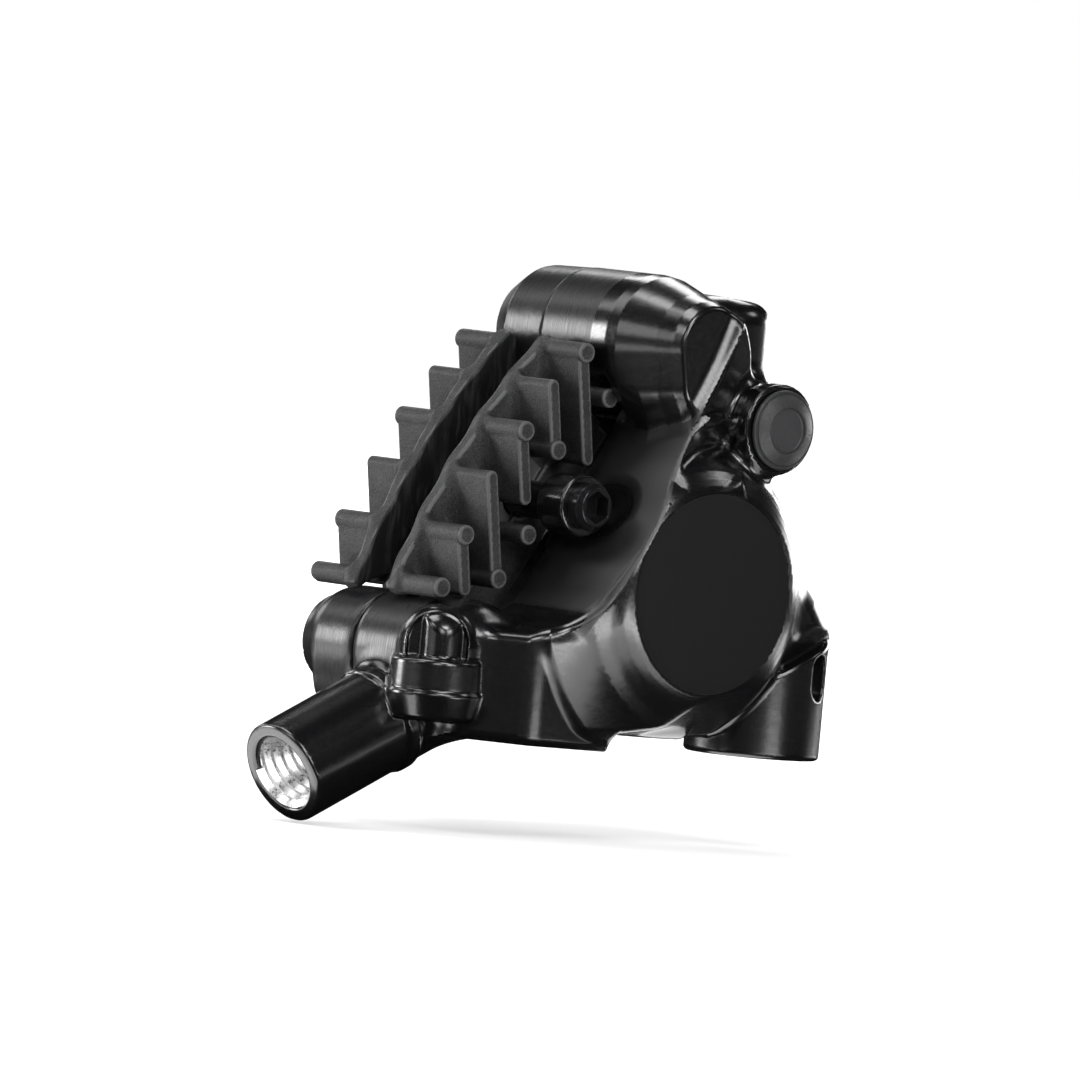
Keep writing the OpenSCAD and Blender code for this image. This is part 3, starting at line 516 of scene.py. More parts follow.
piston_at = pad_point(0, -1)
axle_at = pad_point(0, 14.5)
rotor_at = pad_point(0, -59)
rear_boss_at = pad_point(21.2, 15)
front_boss_at = pad_point(-20.75, 15)
front_boss_toe = (-25.8, 5.3)
bleed_at = (7.4, 35.5)
valve_at = (7.4, 1)
passage_at = (6.4, 45)
parting_y = 11.0
port_face = np.array((-43.3, 6.0, -4.8))
port_way = np.array((0.8965, 0.0, 0.4431))
disc_r, disc_y = 10.7, -12.0
crest_r, crest_rise = 11.2, 0.065
front_y, bridge_y = -8.3, 9.4
underside_z = 2.2
piston_bore_r, groove_r, axle_bore_r = 10.53, 11.51, 2.08
rotor_space_r = 71.5
slot_half, slot_low, far_out = 13.8, -11.8, 40


def shoulder(x, y, z):
    t = pad_t(x, z)
    return pad_r(x, z) - crest_r - crest_rise * t - 0.004 * np.maximum(t - 12, 0) ** 2


def crest_front(t):
    return -9.5 + 0.18 * np.maximum(-6 - t, 0) - 2.3 * np.exp(-((t + 1) / 8.5) ** 2)


def outer_fall(x, z):
    return crest_front(pad_t(x, z)) - 0.42 * shoulder(x, 0, z)


def crest_bevel(x, y, z):
    t = pad_t(x, z)
    out = np.maximum(np.hypot(t, crest_r + crest_rise * t) - disc_r, 0)
    front = np.minimum(crest_front(t), disc_y + 0.28 * out + 0.11 * out * out)
    wide = np.minimum(0.12 + 0.22 * np.clip((t - 2) / 7, 0, 1), 0.1 * (24 - t))
    return 0.6 * shoulder(x, y, z) + 0.8 * (front - y) + wide


def crest_ridge():
    blank, low, high = pad_prism([(-17, 3), (-17, 14), (24.8, 15), (24.4, 10), (20, 2),
                                  (12.4, -5.6), (-12, -8)], -13, parting_y, 0.4)

    def field(x, y, z):
        return both(blank(x, y, z), (outer_fall(x, z) - y) / math.hypot(1, 0.42), 0.3)
    return field, low, high


def foot_slope():
    blank, low, high = rod((17, 0, 0), (17, 0, 22), 7.3, edge=0.5)

    def field(x, y, z):
        ridge = 7.8 + 0.66 * (0.755 * (x - 17) - 0.656 * y)
        return both(blank(x, y, z), (z - ridge) / math.hypot(1, 0.66), 0.5)
    return field, low, high


def apron():
    cone, _, _ = turned(housing_at, [(0, -10.4), (10.1, -10.9), (11, -11.85), (15.4, -10.35),
                                     (19.8, front_y), (20.2, -7), (20.2, bridge_y), (0, bridge_y)])
    blank, low, high = prism([(-23, 13), (-23, 0), (-10.4, 0), (-9.9, underside_z), (2, 4), (2, 30),
                              (-14, 20)], disc_y, bridge_y, 0.3)

    def field(x, y, z):
        lip = join(shoulder(x, y, z), z - 12.1, 5)
        return both(both(blank(x, y, z), cone(x, y, z), 0.4), lip, 0.9)
    return field, low, high


def on_port(h):
    return tuple(port_face + h * port_way)


dome_r, dome_y, dome_turns = 18.5, -1, 12
dome = [(0.0, disc_y), (disc_r, disc_y)]
for i in range(1, dome_turns + 1):
    k = i / dome_turns
    dome.append(((1 - k) ** 2 * disc_r + 2 * k * (1 - k) * 15.7 + k * k * dome_r,
                 (1 - k) ** 2 * disc_y - 2 * k * (1 - k) * 10.6 + k * k * dome_y))
dome += [(dome_r, parting_y), (0.0, parting_y)]

outer = Cast()
outer.add(turned(housing_at, dome), 0)
outer.add(crest_ridge(), 0.6)
outer.keep(shoulder, 0.2)
outer.keep(crest_bevel, 0.1)
outer.add(apron(), 0.8)
outer.keep(lambda x, y, z: underside_z - z, 0.5)
outer.keep(lambda x, y, z: 0.7 * (1.3 + 0.35 * (x + 9.3) - z) - 0.714 * (y + 10), 0.3)
outer.add(foot_slope(), 1.2)
outer.add(prism([(12, 26), (15.7, 22.9), (17.9, 20.4), (20.2, 18), (22.8, 14.4), (22.6, 13.3),
                 (12, 7.7), (8, 5.7), (6, 16)], -6.4, 7, 3.6), 2.0)


def front_plate():
    blank, low, high = prism([(-28, 12.1), (-28, 0.4), (-10.4, 0), (-9.9, underside_z),
                              (0, underside_z), (0, 12.1)], front_y, bridge_y, 0.9)

    def field(x, y, z):
        return both(blank(x, y, z), -0.72 * (x + 21.7) - 0.694 * (y - front_y), 1.1)
    return field, low, high


outer.add(front_plate(), 1.8)
rear_end = [(0, -8.5), (3.95, -8.5), (4.35, -7.6), (4.87, -5.6), (5.77, -2.9), (6.4, -0.9),
            (6.6, 0.6), (6.6, parting_y + 1), (0, parting_y + 1)]


def rear_bulge():
    tail, swell = (0.7, -3.4), 0.6
    span = tail[0] ** 2 + tail[1] ** 2
    _, low, high = turned(rear_boss_at, rear_end)

    def field(x, y, z):
        dx, dz = x - rear_boss_at[0], z - rear_boss_at[1]
        ahead = np.clip((3.5 - y) / 7, 0, 1)
        h = np.clip((dx * tail[0] + dz * tail[1]) / span, 0, 1) * ahead
        across = np.hypot(dx - tail[0] * h, dz - tail[1] * h)
        return edge_gap(rear_end, False, across, y) - swell
    return field, low - (swell, swell, swell + 4), high + (swell + 1, swell, swell)


outer.add(rear_bulge(), 2.6)


def right_of_crest(x, y, z):
    front = join((y - outer_fall(x, z)) * 0.92, -crest_bevel(x, y, z), 0.5)
    return both(shoulder(x, y, z), front, 0.1)


outer.cut((right_of_crest, np.array((-4, -14, 37.6)), np.array((14, -2, 54))), 0.2)
outer.cut((lambda x, y, z: both(shoulder(x, y, z), -crest_bevel(x, y, z), 0.1),
           np.array((-10, -14, 28)), np.array((1, -2, 38.2))), 0.1)


def bleed_neck():
    web, low, high = link(rear_boss_at, 4.2, (8.2, 28), 5.4, 0.6, parting_y, 1.6)
    boss, boss_low, boss_high = turned(bleed_at, [
        (0, -10.7), (4.7, -10.7), (4.85, -10.5), (4.85, -9.0), (4.6, -8.3), (4.7, -7),
        (5.0, -5.4), (5.6, -3.9), (6.6, -2.6), (6.6, 2), (0, 2)])

    def field(x, y, z):
        return join(web(x, y, z), boss(x, y, z), 2.0)
    return field, np.minimum(low, boss_low), np.maximum(high, boss_high)


outer.add(bleed_neck(), 2.2)
outer.add(link((4.2, 42.4), 3.2, passage_at, 3.7, -2, parting_y, 1.2), 2.0)
outer.add(rod((*valve_at, 30), (*valve_at, 48.6), 5.7, edge=2.4), 1.6)
outer.add(rod_y(front_boss_at, 6, -3, parting_y, 1.5), 2.2)
outer.add(link(front_boss_at, 4.6, (-15, 8), 4, -2, parting_y, 1.5), 2.5)
outer.add(link(front_boss_at, 5.7, front_boss_toe, 4.6, 1.0, parting_y, 1.2), 1.0)
outer.keep(lambda x, y, z: y - parting_y, 0.22)
outer.add(rod(on_port(0), on_port(27), 5.6, edge=0.45), 1.8)
outer.add(rod(on_port(13.2), on_port(14.9), 5.95, edge=0.35), 0.2)
# Front column: an arched post with a sunk face, a proud band round its waist and a flange under it
post = np.array((-28.9, -0.4))
post_way = np.array((-0.6556, -0.7545))
post_side = np.array((0.755, -0.656))
post_r, arch_z, band_r = 4.05, 10.3, 4.85
outer.add(rod((*post, 2.6), (*post, arch_z), post_r, edge=0.3), 0.8)
outer.add(ball((*post, arch_z), post_r), 0.3)


def post_arch():
    def field(x, y, z):
        ahead = (x - post[0]) * post_way[0] + (y - post[1]) * post_way[1]
        aside = (x - post[0]) * post_side[0] + (y - post[1]) * post_side[1]
        arch = np.hypot(aside, np.maximum(z - arch_z, 0)) - 3.2
        return both(both(arch, 8.3 - z, 0.3), 1.9 - ahead, 0.3)
    return field, np.array((*(post - 6.5), 8)), np.array((*(post + 4), 15))


outer.cut(post_arch(), 0.3)
tongue = post + 1.5 * post_way + 0.4 * post_side


def post_tongue():
    stem, low, high = rod((*tongue, 7), (*tongue, 14), 2.1, edge=0.3)
    cap, _, _ = ball((*post, arch_z), 3.85)

    def field(x, y, z):
        return both(stem(x, y, z), np.where(z > arch_z, cap(x, y, z), -2), 0.2)
    return field, low, high


outer.add(post_tongue(), 0.35)
outer.add(rod((*post, 5.2), (*post, 8.6), band_r, 4.75, edge=0.45), 0.35)
outer.add(rod((*post, 2.2), (*post, 5.2), 4.5, 5.15, edge=0.45), 0.4)
# What the casting gives way to: rotor, pads, fins, piston, screws, ports and passages
pad_slot = [(-slot_half, slot_low), (slot_half, slot_low), (slot_half, far_out),
            (-slot_half, far_out)]


def fin_window(low_r):
    return [(-slot_half, low_r), (14.6, low_r), (14.6, 19), (17, 24), (17, far_out),
            (-19, far_out), (-19, 24), (-slot_half, 19)]


outer.cut(rod_y(rotor_at, rotor_space_r, bridge_y, 14, 0.1), 0.25)
outer.cut(pad_prism(pad_slot, 5.6, 14, 0.3), 0.25)
outer.cut(pad_prism(fin_window(12.4), 0.4, 14, 1.0), 0.3)
outer.cut(pad_prism([(-slot_half, 10.2), (14.4, 10.2), (14.4, far_out), (-slot_half, far_out)],
                    2.9, 14, 0.6), 0.3)
outer.cut(rod_y(piston_at, piston_bore_r, -9.4, 8, 0.2), 0.2)
outer.cut(rod_y(piston_at, groove_r, 3.4, 4.42, 0.05), 0.1)
outer.cut(pad_ball((1.3, -2, 14.3), (6.6, 8.4, 4.0)), 0.25)
outer.add(rod_y(axle_at, 3.3, -3.8, 0.4, 0.25), 0.5)
outer.cut(rod_y(axle_at, axle_bore_r, -5, 2, 0.0), 0.1)
for boss_at in (rear_boss_at, front_boss_at):
    outer.cut(rod_y(boss_at, 2.53, -3, 14, 0.1), 0.3)
for foot_x in (-17, 17):
    outer.cut(rod((foot_x, 0, -2), (foot_x, 0, 9), 2.1, edge=0.1), 0.3)
outer.cut(rod(on_port(-2), on_port(13), 4.0, edge=0.1), 0.5)
outer.cut(rod_y(bleed_at, 2.95, -13, -7.8, 0.1), 0.2)
outer.cut(rod((*valve_at, 41.5), (*valve_at, 52), 3.03, edge=0.1), 0.35)
slot_way = np.array((0.417, -0.909, 0.0))
slot_at = np.array((17, 0, 9.0)) + 7.3 * slot_way


def foot_slot(r, deep):
    def field(x, y, z):
        dx, dy, dz = x - slot_at[0], y - slot_at[1], z - slot_at[2]
        side = dx * slot_way[1] - dy * slot_way[0]
        flat = np.hypot(side, np.maximum(np.abs(dz) - 0.9, 0)) - r
        return both(flat, -(dx * slot_way[0] + dy * slot_way[1]) - deep, 0.1)
    return field, slot_at - 3.5, slot_at + 3.5


outer.cut(foot_slot(1.5, 1.6), 0.3)


class Finish:
    """A shader with short ways to add patterns in the object's own millimetres."""

    def __init__(self, name, colour, roughness, metallic=0.0, specular=0.5):
        self.material = bpy.data.materials.new(name)
        self.material.use_nodes = True
        self.tree = self.material.node_tree
        self.shader = self.tree.nodes["Principled BSDF"]
        self.set("Base Color", (*colour, 1))
        self.set("Roughness", roughness)
        self.set("Metallic", metallic)
        self.set("Specular IOR Level", specular)
        place = self.node("TexCoord").outputs["Object"]
        self.mm = self.node("VectorMath", {0: place, "Scale": 1000.0}, operation="SCALE").outputs[0]
        self.xyz = self.node("SeparateXYZ", {0: self.mm}).outputs

    def put(self, socket, value):
        if isinstance(value, bpy.types.NodeSocket):
            self.tree.links.new(value, socket)
        else:
            socket.default_value = value

    def set(self, key, value):
        self.put(self.shader.inputs[key], value)

    def node(self, kind, values=None, **options):
        made = self.tree.nodes.new("ShaderNode" + kind)
        for key, value in options.items():
            setattr(made, key, value)
        for key, value in (values or {}).items():
            self.put(made.inputs[key], value)
        return made

    def sum(self, operation, *values):
        return self.node("Math", dict(enumerate(values)), operation=operation).outputs[0]

    def noise(self, grains_per_mm, detail=3.0, stretch=(1, 1, 1)):
        where = self.mm
        if stretch != (1, 1, 1):
            drawn = self.node("VectorMath", {0: self.mm, 1: stretch}, operation="MULTIPLY")
            where = drawn.outputs[0]
        grain = {"Vector": where, "Scale": grains_per_mm, "Detail": detail}
        return self.node("TexNoise", grain).outputs["Fac"]

    def ramp(self, value, low, high, to_low=0.0, to_high=1.0):
        return self.node("MapRange", {"Value": value, 1: low, 2: high, 3: to_low, 4: to_high},
                         interpolation_type="SMOOTHSTEP").outputs[0]

    def rough(self, pattern, low, high):
        return self.ramp(pattern, 0.3, 0.7, low, high)

    def within(self, at, radius, soft=0.05):
        dx = self.sum("SUBTRACT", self.xyz[0], at[0])
        dz = self.sum("SUBTRACT", self.xyz[2], at[1])
        square = self.sum("ADD", self.sum("MULTIPLY", dx, dx), self.sum("MULTIPLY", dz, dz))
        return self.ramp(self.sum("SQRT", square), radius - soft, radius + soft, 1.0, 0.0)

    def mix(self, factor, first, second):
        made = self.node("Mix", data_type="RGBA")
        self.put(made.inputs[0], factor)
        for socket, value in ((made.inputs[6], first), (made.inputs[7], second)):
            self.put(socket, value if isinstance(value, bpy.types.NodeSocket) else (*value, 1))
        return made.outputs[2]

    def blend(self, factor, first, second):
        made = self.node("Mix", data_type="FLOAT")
        for index, value in enumerate((factor, first, second)):
            self.put(made.inputs[0 if index == 0 else index + 1], value)
        return made.outputs[0]

    def relief(self, *layers):
        under = None
        for height, depth_mm in layers:
            values = {"Height": height, "Distance": depth_mm / 1000}
            if under is not None:
                values["Normal"] = under
            under = self.node("Bump", values).outputs[0]
        self.put(self.shader.inputs["Normal"], under)


deep_black, satin_black = (0.003, 0.003, 0.0035), (0.012, 0.012, 0.013)
turned_grain = (0.3, 14, 0.3)
paint = Finish("gloss_black_paint", deep_black, 0.17, specular=0.85)
# Masks: the round face of the housing, the turned ends of both bosses and the milled shoulder
flat_face = paint.sum("MULTIPLY", paint.within(housing_at, 10.66),
                      paint.ramp(paint.xyz[1], -11.93, -11.9, 1.0, 0.0))
rear_band = paint.sum("MULTIPLY", paint.within(rear_boss_at, 7.9),
                      paint.ramp(paint.xyz[1], 2.75, 2.85))
front_end = paint.sum("MAXIMUM", paint.within(front_boss_at, 6.6),
                      paint.within(front_boss_toe, 5.3))
front_band = paint.sum("MULTIPLY", front_end, paint.ramp(paint.xyz[1], 2.2, 2.3))
band = paint.sum("MAXIMUM", rear_band, front_band)
over_t = paint.sum("ADD", paint.sum("MULTIPLY", paint.xyz[0], lean_c),
                   paint.sum("MULTIPLY", paint.xyz[2], lean_s))
over_r = paint.sum("SUBTRACT", paint.sum("MULTIPLY", paint.xyz[2], lean_c),
                   paint.sum("MULTIPLY", paint.xyz[0], lean_s))
level = paint.sum("SUBTRACT", over_r, paint.sum("MULTIPLY", over_t, crest_rise))
off_level = paint.sum("ABSOLUTE", paint.sum("SUBTRACT", level, 21.2))
off_middle = paint.sum("ABSOLUTE", paint.sum("SUBTRACT", over_t, 15.2))
on_shoulder = paint.sum("MULTIPLY", paint.ramp(off_level, 0.35, 0.6, 1.0, 0.0),
                        paint.ramp(off_middle, 13.5, 15.0, 1.0, 0.0))
peel = paint.noise(0.9, 2.0)
grain = paint.noise(5.0, 2.0)
turning = paint.noise(1.0, 3.0, turned_grain)
gloss = paint.blend(on_shoulder, paint.rough(grain, 0.17, 0.25), 0.42)
paint.set("Base Color", paint.mix(flat_face, paint.mix(band, deep_black, satin_black),
                                  (0.006, 0.006, 0.0065)))
banded = paint.blend(band, gloss, paint.rough(turning, 0.26, 0.36))
paint.set("Roughness", paint.blend(flat_face, banded, 0.55))
paint.set("Specular IOR Level", paint.blend(flat_face, paint.blend(band, 0.85, 0.5), 0.2))
paint.relief((peel, 0.01), (grain, 0.0015))
outer_cast = cast_piece("outer_cast", outer, (-46.6, -13, -11.5), (25.5, 12, 51.8), 0.28, 190000,
                        paint.material)
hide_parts("outer_body")
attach(outer_cast, "caliper")


# Thread of the hose port: a bare machined bore with an M8 thread cut in it, and a chamfered mouth.
# The ridge follows a helix down the bore.
def turned_mesh(name, profile, segments, coating):
    count = len(profile)
    points = [(r * math.cos(a * math.tau / segments), r * math.sin(a * math.tau / segments), h)
              for a in range(segments) for r, h in profile]
    faces = []
    for a in range(segments):
        b = (a + 1) % segments
        for i in range(count):
            j = (i + 1) % count
            faces.append((a * count + i, b * count + i, b * count + j, a * count + j))
    mesh = bpy.data.meshes.new(name)
    mesh.from_pydata([tuple(v / 1000 for v in p) for p in points], [], faces)
    mesh.materials.append(coating)
    return mesh


def stand(mesh, at_mm, way):
    turn = Vector(way).to_track_quat("Z", "Y").to_matrix().to_4x4()
    mesh.transform(Matrix.Translation(Vector(at_mm) / 1000) @ turn)
    return mesh


def tidy_piece(name, mesh, sharp=35):
    cleaner = bmesh.new()
    cleaner.from_mesh(mesh)
    bmesh.ops.remove_doubles(cleaner, verts=cleaner.verts, dist=1e-7)
    bmesh.ops.dissolve_degenerate(cleaner, edges=cleaner.edges, dist=1e-8)
    bmesh.ops.recalc_face_normals(cleaner, faces=cleaner.faces)
    cleaner.to_mesh(mesh)
    cleaner.free()
    mesh.shade_smooth()
    mesh.set_sharp_from_angle(angle=math.radians(sharp))
    return in_scene(name, mesh)


bare = Finish("bare_thread_metal", (0.9, 0.9, 0.9), 0.3, metallic=1.0)
bare.set("Roughness", bare.rough(bare.noise(3.0), 0.24, 0.4))
bare.relief((bare.noise(6.0), 0.001))
thread_tree = bpy.data.node_groups.new("bore_thread", "GeometryNodeTree")
thread_tree.interface.new_socket("Geometry", in_out="INPUT", socket_type="NodeSocketGeometry")
for label, kind in (("Radius", "Float"), ("Length", "Float"), ("Pitch", "Float"),
                    ("Coating", "Material")):
    thread_tree.interface.new_socket(label, in_out="INPUT", socket_type="NodeSocket" + kind)
thread_tree.interface.new_socket("Geometry", in_out="OUTPUT", socket_type="NodeSocketGeometry")
given = thread_tree.nodes.new("NodeGroupInput").outputs


def thread_step(kind, inputs, **options):
    made = thread_tree.nodes.new(kind)
    for key, value in options.items():
        setattr(made, key, value)
    for key, value in inputs.items():
        if isinstance(value, bpy.types.NodeSocket):
            thread_tree.links.new(value, made.inputs[key])
        else:
            made.inputs[key].default_value = value
    return made.outputs[0]


turns = thread_step("ShaderNodeMath", {0: given["Length"], 1: given["Pitch"]}, operation="DIVIDE")
helix = thread_step("GeometryNodeCurveSpiral", {
    "Resolution": 72, "Rotations": turns, "Start Radius": given["Radius"],
    "End Radius": given["Radius"], "Height": given["Length"]})
half_pitch = thread_step("ShaderNodeMath", {0: given["Pitch"], 1: 0.5}, operation="MULTIPLY")
ridge = thread_step("GeometryNodeCurvePrimitiveCircle", {"Resolution": 4, "Radius": half_pitch},
                    mode="RADIUS")
upright = thread_step("GeometryNodeSetCurveNormal", {"Curve": helix}, mode="Z_UP")
sweep = thread_step("GeometryNodeCurveToMesh", {
    "Curve": upright, "Profile Curve": ridge, "Fill Caps": True})
real = thread_step("GeometryNodeRealizeInstances", {0: sweep})
coated = thread_step("GeometryNodeSetMaterial", {0: real, "Material": given["Coating"]})
thread_tree.links.new(coated, thread_tree.nodes.new("NodeGroupOutput").inputs[0])


def from_nodes(name, group, inputs):
    blank = in_scene(name + "_blank", bpy.data.meshes.new(name + "_blank"))
    maker = blank.modifiers.new("maker", "NODES")
    maker.node_group = group
    for item in group.interface.items_tree:
        if item.in_out == "INPUT" and item.name in inputs:
            maker[item.identifier] = inputs[item.name]
    blank.update_tag()
    shape = bpy.context.evaluated_depsgraph_get()
    made = bpy.data.meshes.new_from_object(blank.evaluated_get(shape))
    blank.modifiers.clear()
    bpy.data.objects.remove(blank)
    return made


thread_ridge = from_nodes("port_thread", thread_tree, {
    "Radius": 0.00405, "Length": 0.0122, "Pitch": 0.00125, "Coating": bare.material})
stand(thread_ridge, on_port(0.5), port_way)
port_thread = tidy_piece("port_thread", thread_ridge, 60)
round_sides = 96
bore_wall = turned_mesh("port_bore", [
    (4.45, 0.1), (3.93, 0.75), (3.93, 12.9), (0.0, 12.95), (0.0, 13.2),
    (4.02, 13.2), (4.02, 0.75), (4.52, 0.1)], round_sides, bare.material)
port_bore = tidy_piece("port_bore", stand(bore_wall, on_port(0), port_way), 30)
for piece in (port_thread, port_bore):
    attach(piece, "caliper")

# Inner casting: the second half, with the inner piston bore, bolted to the outer half at the
# parting plane. It is machined all over its bridges and finished in satin black.
plug_boss_at = pad_point(21.5, -1)
inner = Cast()
inner.add(turned(housing_at, [(0, parting_y), (18.3, parting_y), (18.3, 19), (17.9, 20.4),
                              (16.4, 22.6), (15, 24.8), (13.9, 26.2), (12.9, 26.85), (12.2, 27),
                              (0, 27)]), 0)
inner.add(pad_prism([(-20, 2), (-18, 12), (20, 12), (21, 4), (13, -6.5), (-12, -8)],
                    parting_y, 21.8, 1.2), 1.5)
inner.keep(lambda x, y, z: pad_r(x, z) - 11.6, 0.4)
inner.keep(lambda x, y, z: underside_z - z, 0.6)
inner.add(turned(rear_boss_at, [(0, parting_y), (7.15, parting_y), (7.0, 17.3), (6.6, 18.1),
                                (5.35, 20.4), (5.05, 20.6), (0, 20.6)]), 2.5)
inner.add(turned(front_boss_at, [(0, parting_y), (6, parting_y), (5.95, 16.8), (5.7, 17.6),
                                 (4.85, 20.4), (4.7, 20.6), (0, 20.6)]), 2.0)
inner.add(link(rear_boss_at, 4.5, passage_at, 3.7, parting_y, 19, 1.2), 2)
inner.add(link(passage_at, 3.2, (7.0, 28), 6.4, parting_y, 19, 1.2), 2)
inner.add(link(front_boss_at, 4, (-13, 11), 5, parting_y, 19, 1.2), 2)
inner.add(link(front_boss_at, 5.6, front_boss_toe, 4.6, parting_y, 18.4, 1.2), 1.0)
inner.add(rod_y(axle_at, 3.3, 21.6, 24.2, 0.3), 0.6)
inner.add(pad_prism([(-4.8, 10.6), (4.8, 10.6), (3.2, 14.5), (-3.2, 14.5)],
                    21.6, 24.2, 0.3), 0.8)
inner.add(rod_y(plug_boss_at, 3.5, 12.6, 22, 0.5), 1.2)
inner.cut(turned(housing_at, [(0, 26.3), (9.4, 26.3), (10.2, 27.4), (0, 27.4)]), 0.25)
inner.cut(rod_y(rotor_at, rotor_space_r, 8, 12.6, 0.1), 0.25)
inner.cut(pad_prism(pad_slot, 8, 16.4, 0.3), 0.25)
inner.cut(pad_prism(fin_window(11.6), 8, 21.6, 0.3), 0.3)
inner.cut(rod_y(piston_at, piston_bore_r, 13, 24.8, 0.2), 0.2)
inner.cut(rod_y(piston_at, groove_r, 17.58, 18.6, 0.05), 0.1)
inner.cut(rod_y(axle_at, axle_bore_r, 20, 26, 0.0), 0.1)
for boss_at in (rear_boss_at, front_boss_at):
    inner.cut(rod_y(boss_at, 2.55, 8, 22, 0.1), 0.2)
    inner.cut(rod_y(boss_at, 4.35, 17.6, 24, 0.1), 0.25)
inner.cut(rod_y(plug_boss_at, 2.23, 17.4, 24, 0.1), 0.25)
inner.cut(rod(on_port(-2), on_port(31), 6.2, edge=0.1), 0.25)
inner.keep(lambda x, y, z: parting_y - y, 0.22)
satin = Finish("satin_black_casting", satin_black, 0.32, specular=0.5)
machined = satin.noise(1.0, 3.0, turned_grain)
boss_ends = satin.sum("MAXIMUM", satin.within(rear_boss_at, 7.6), satin.within(front_boss_at, 6.5))
painted_end = satin.sum("MULTIPLY", satin.ramp(satin.xyz[1], 17.2, 17.35), boss_ends)
satin.set("Base Color", satin.mix(painted_end, satin_black, (0.006, 0.006, 0.007)))
satin.set("Roughness", satin.blend(painted_end, satin.rough(machined, 0.26, 0.36), 0.3))
satin.relief((satin.noise(1.2, 2.0), 0.02), (satin.noise(6.0, 2.0), 0.004))
inner_cast = cast_piece("inner_cast", inner, (-33, 10, 1), (19, 28, 52), 0.4, 90000, satin.material)
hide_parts("inner_body")
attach(inner_cast, "caliper")

# Pistons and seals: turned phenolic-ceramic cups that push the pads, and rings of square rubber
# that sit in grooves of both bores. They keep the frame's shapes and get their materials here.
piston_finish = Finish("piston_ceramic_finish", (0.62, 0.6, 0.55), 0.4)
fleck = piston_finish.noise(4.0, 4.0)
piston_finish.set("Base Color", piston_finish.mix(piston_finish.ramp(fleck, 0.35, 0.7),
                                                  (0.66, 0.63, 0.57), (0.5, 0.48, 0.44)))
piston_finish.relief((piston_finish.noise(1.0, 3.0, (0.3, 10, 0.3)), 0.006))
rubber = Finish("seal_rubber_finish", (0.02, 0.02, 0.02), 0.55)
rubber.set("Roughness", rubber.rough(rubber.noise(3.0), 0.45, 0.68))
rubber.relief((rubber.noise(8.0), 0.006))


def dress(finish, *nodes):
    for node in nodes:
        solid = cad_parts[node]
        solid.data.materials.clear()
        solid.data.materials.append(finish.material)


dress(piston_finish, "outer_piston", "inner_piston")
dress(rubber, "outer_piston_seal", "inner_piston_seal", "passage_seal", "bleed_screw_seal")

# Pads: each is a steel backing plate with a friction block in front and a cast aluminium cooling
# plate behind. Fins and round posts stand on that plate in the wind, and its skin is grit blasted.
steel = Finish("backing_steel_finish", (0.3, 0.3, 0.31), 0.42, metallic=0.9)
steel.set("Roughness", steel.rough(steel.noise(2.0, 4.0), 0.34, 0.52))
steel.relief((steel.noise(5.0), 0.006))
block_brown, crumb_copper = (0.09, 0.075, 0.06), (0.32, 0.22, 0.13)
block = Finish("friction_block_finish", block_brown, 0.85)
crumbs = block.node("TexVoronoi", {"Vector": block.mm, "Scale": 3.2}).outputs["Color"]
crumb_tone = block.node("SeparateColor", {0: crumbs}).outputs[0]
block.set("Base Color", block.mix(block.ramp(crumb_tone, 0.72, 0.8), block_brown, crumb_copper))
block.relief((block.noise(4.0, 4.0), 0.04))
dress(steel, "outer_pad_plate", "inner_pad_plate")
dress(block, "outer_lining", "inner_lining")
blasted = Finish("blasted_aluminium", (0.03, 0.03, 0.031), 0.5, metallic=0.1, specular=0.4)
speck = blasted.noise(7.0, 2.0)
cloud = blasted.noise(0.5, 3.0)
streak = blasted.noise(1.6, 3.0, (1, 1, 0.06))
# Faces near the rotor's plane, in the slot between the pads, are painted darker with streaks:
# painted shade.
off_rotor = blasted.sum("ABSOLUTE", blasted.sum("SUBTRACT", blasted.xyz[1], parting_y))
slot_shade_mask = blasted.ramp(off_rotor, 2.62, 2.7, 1.0, 0.0)
# The fins' convex edges are painted lighter: a painted highlight, partly edge wear.
edge_highlight_and_wear = blasted.ramp(blasted.node("Attribute", attribute_name="edge_wear_and_highlight").outputs["Fac"], 0.25, 0.9)
mottle = blasted.ramp(blasted.sum("ADD", speck, blasted.sum("MULTIPLY", cloud, 0.35)), 0.45, 0.9)
skin = blasted.mix(edge_highlight_and_wear, blasted.mix(mottle, (0.01, 0.01, 0.0105), (0.042, 0.042, 0.0435)),
                   (0.085, 0.085, 0.088))
inside = blasted.mix(blasted.ramp(streak, 0.45, 0.7), (0.006, 0.006, 0.006), (0.03, 0.03, 0.031))
blasted.set("Base Color", blasted.mix(slot_shade_mask, skin, inside))
blasted.set("Roughness", blasted.rough(speck, 0.58, 0.4))
blasted.relief((speck, 0.05))
fin_tops = [14.6, 9.2, 3.2, -3.3, -10.2, -16.4]
fin_lengths = [11.6, 6.8, 7.4, 10.8, 6, 0.6]
fin_run = math.radians(224.2)
fin_r, pin_r = 0.75, 1.05
plate_back, fin_front, fin_back = 7.6, 1.0, 7.4

crown_r = 83


def arc_top(t):
    return math.sqrt(crown_r * crown_r - t * t) - 59


def wavy_plate(points, y0, y1, edge):
    flat, low, high = pad_prism(points, y0, y1, edge)

    def field(x, y, z):
        return flat(x, y + 0.2 * np.sin(pad_t(x, z) * math.tau / 6.1 + 0.7), z)
    return field, low - 0.3, high + 0.3


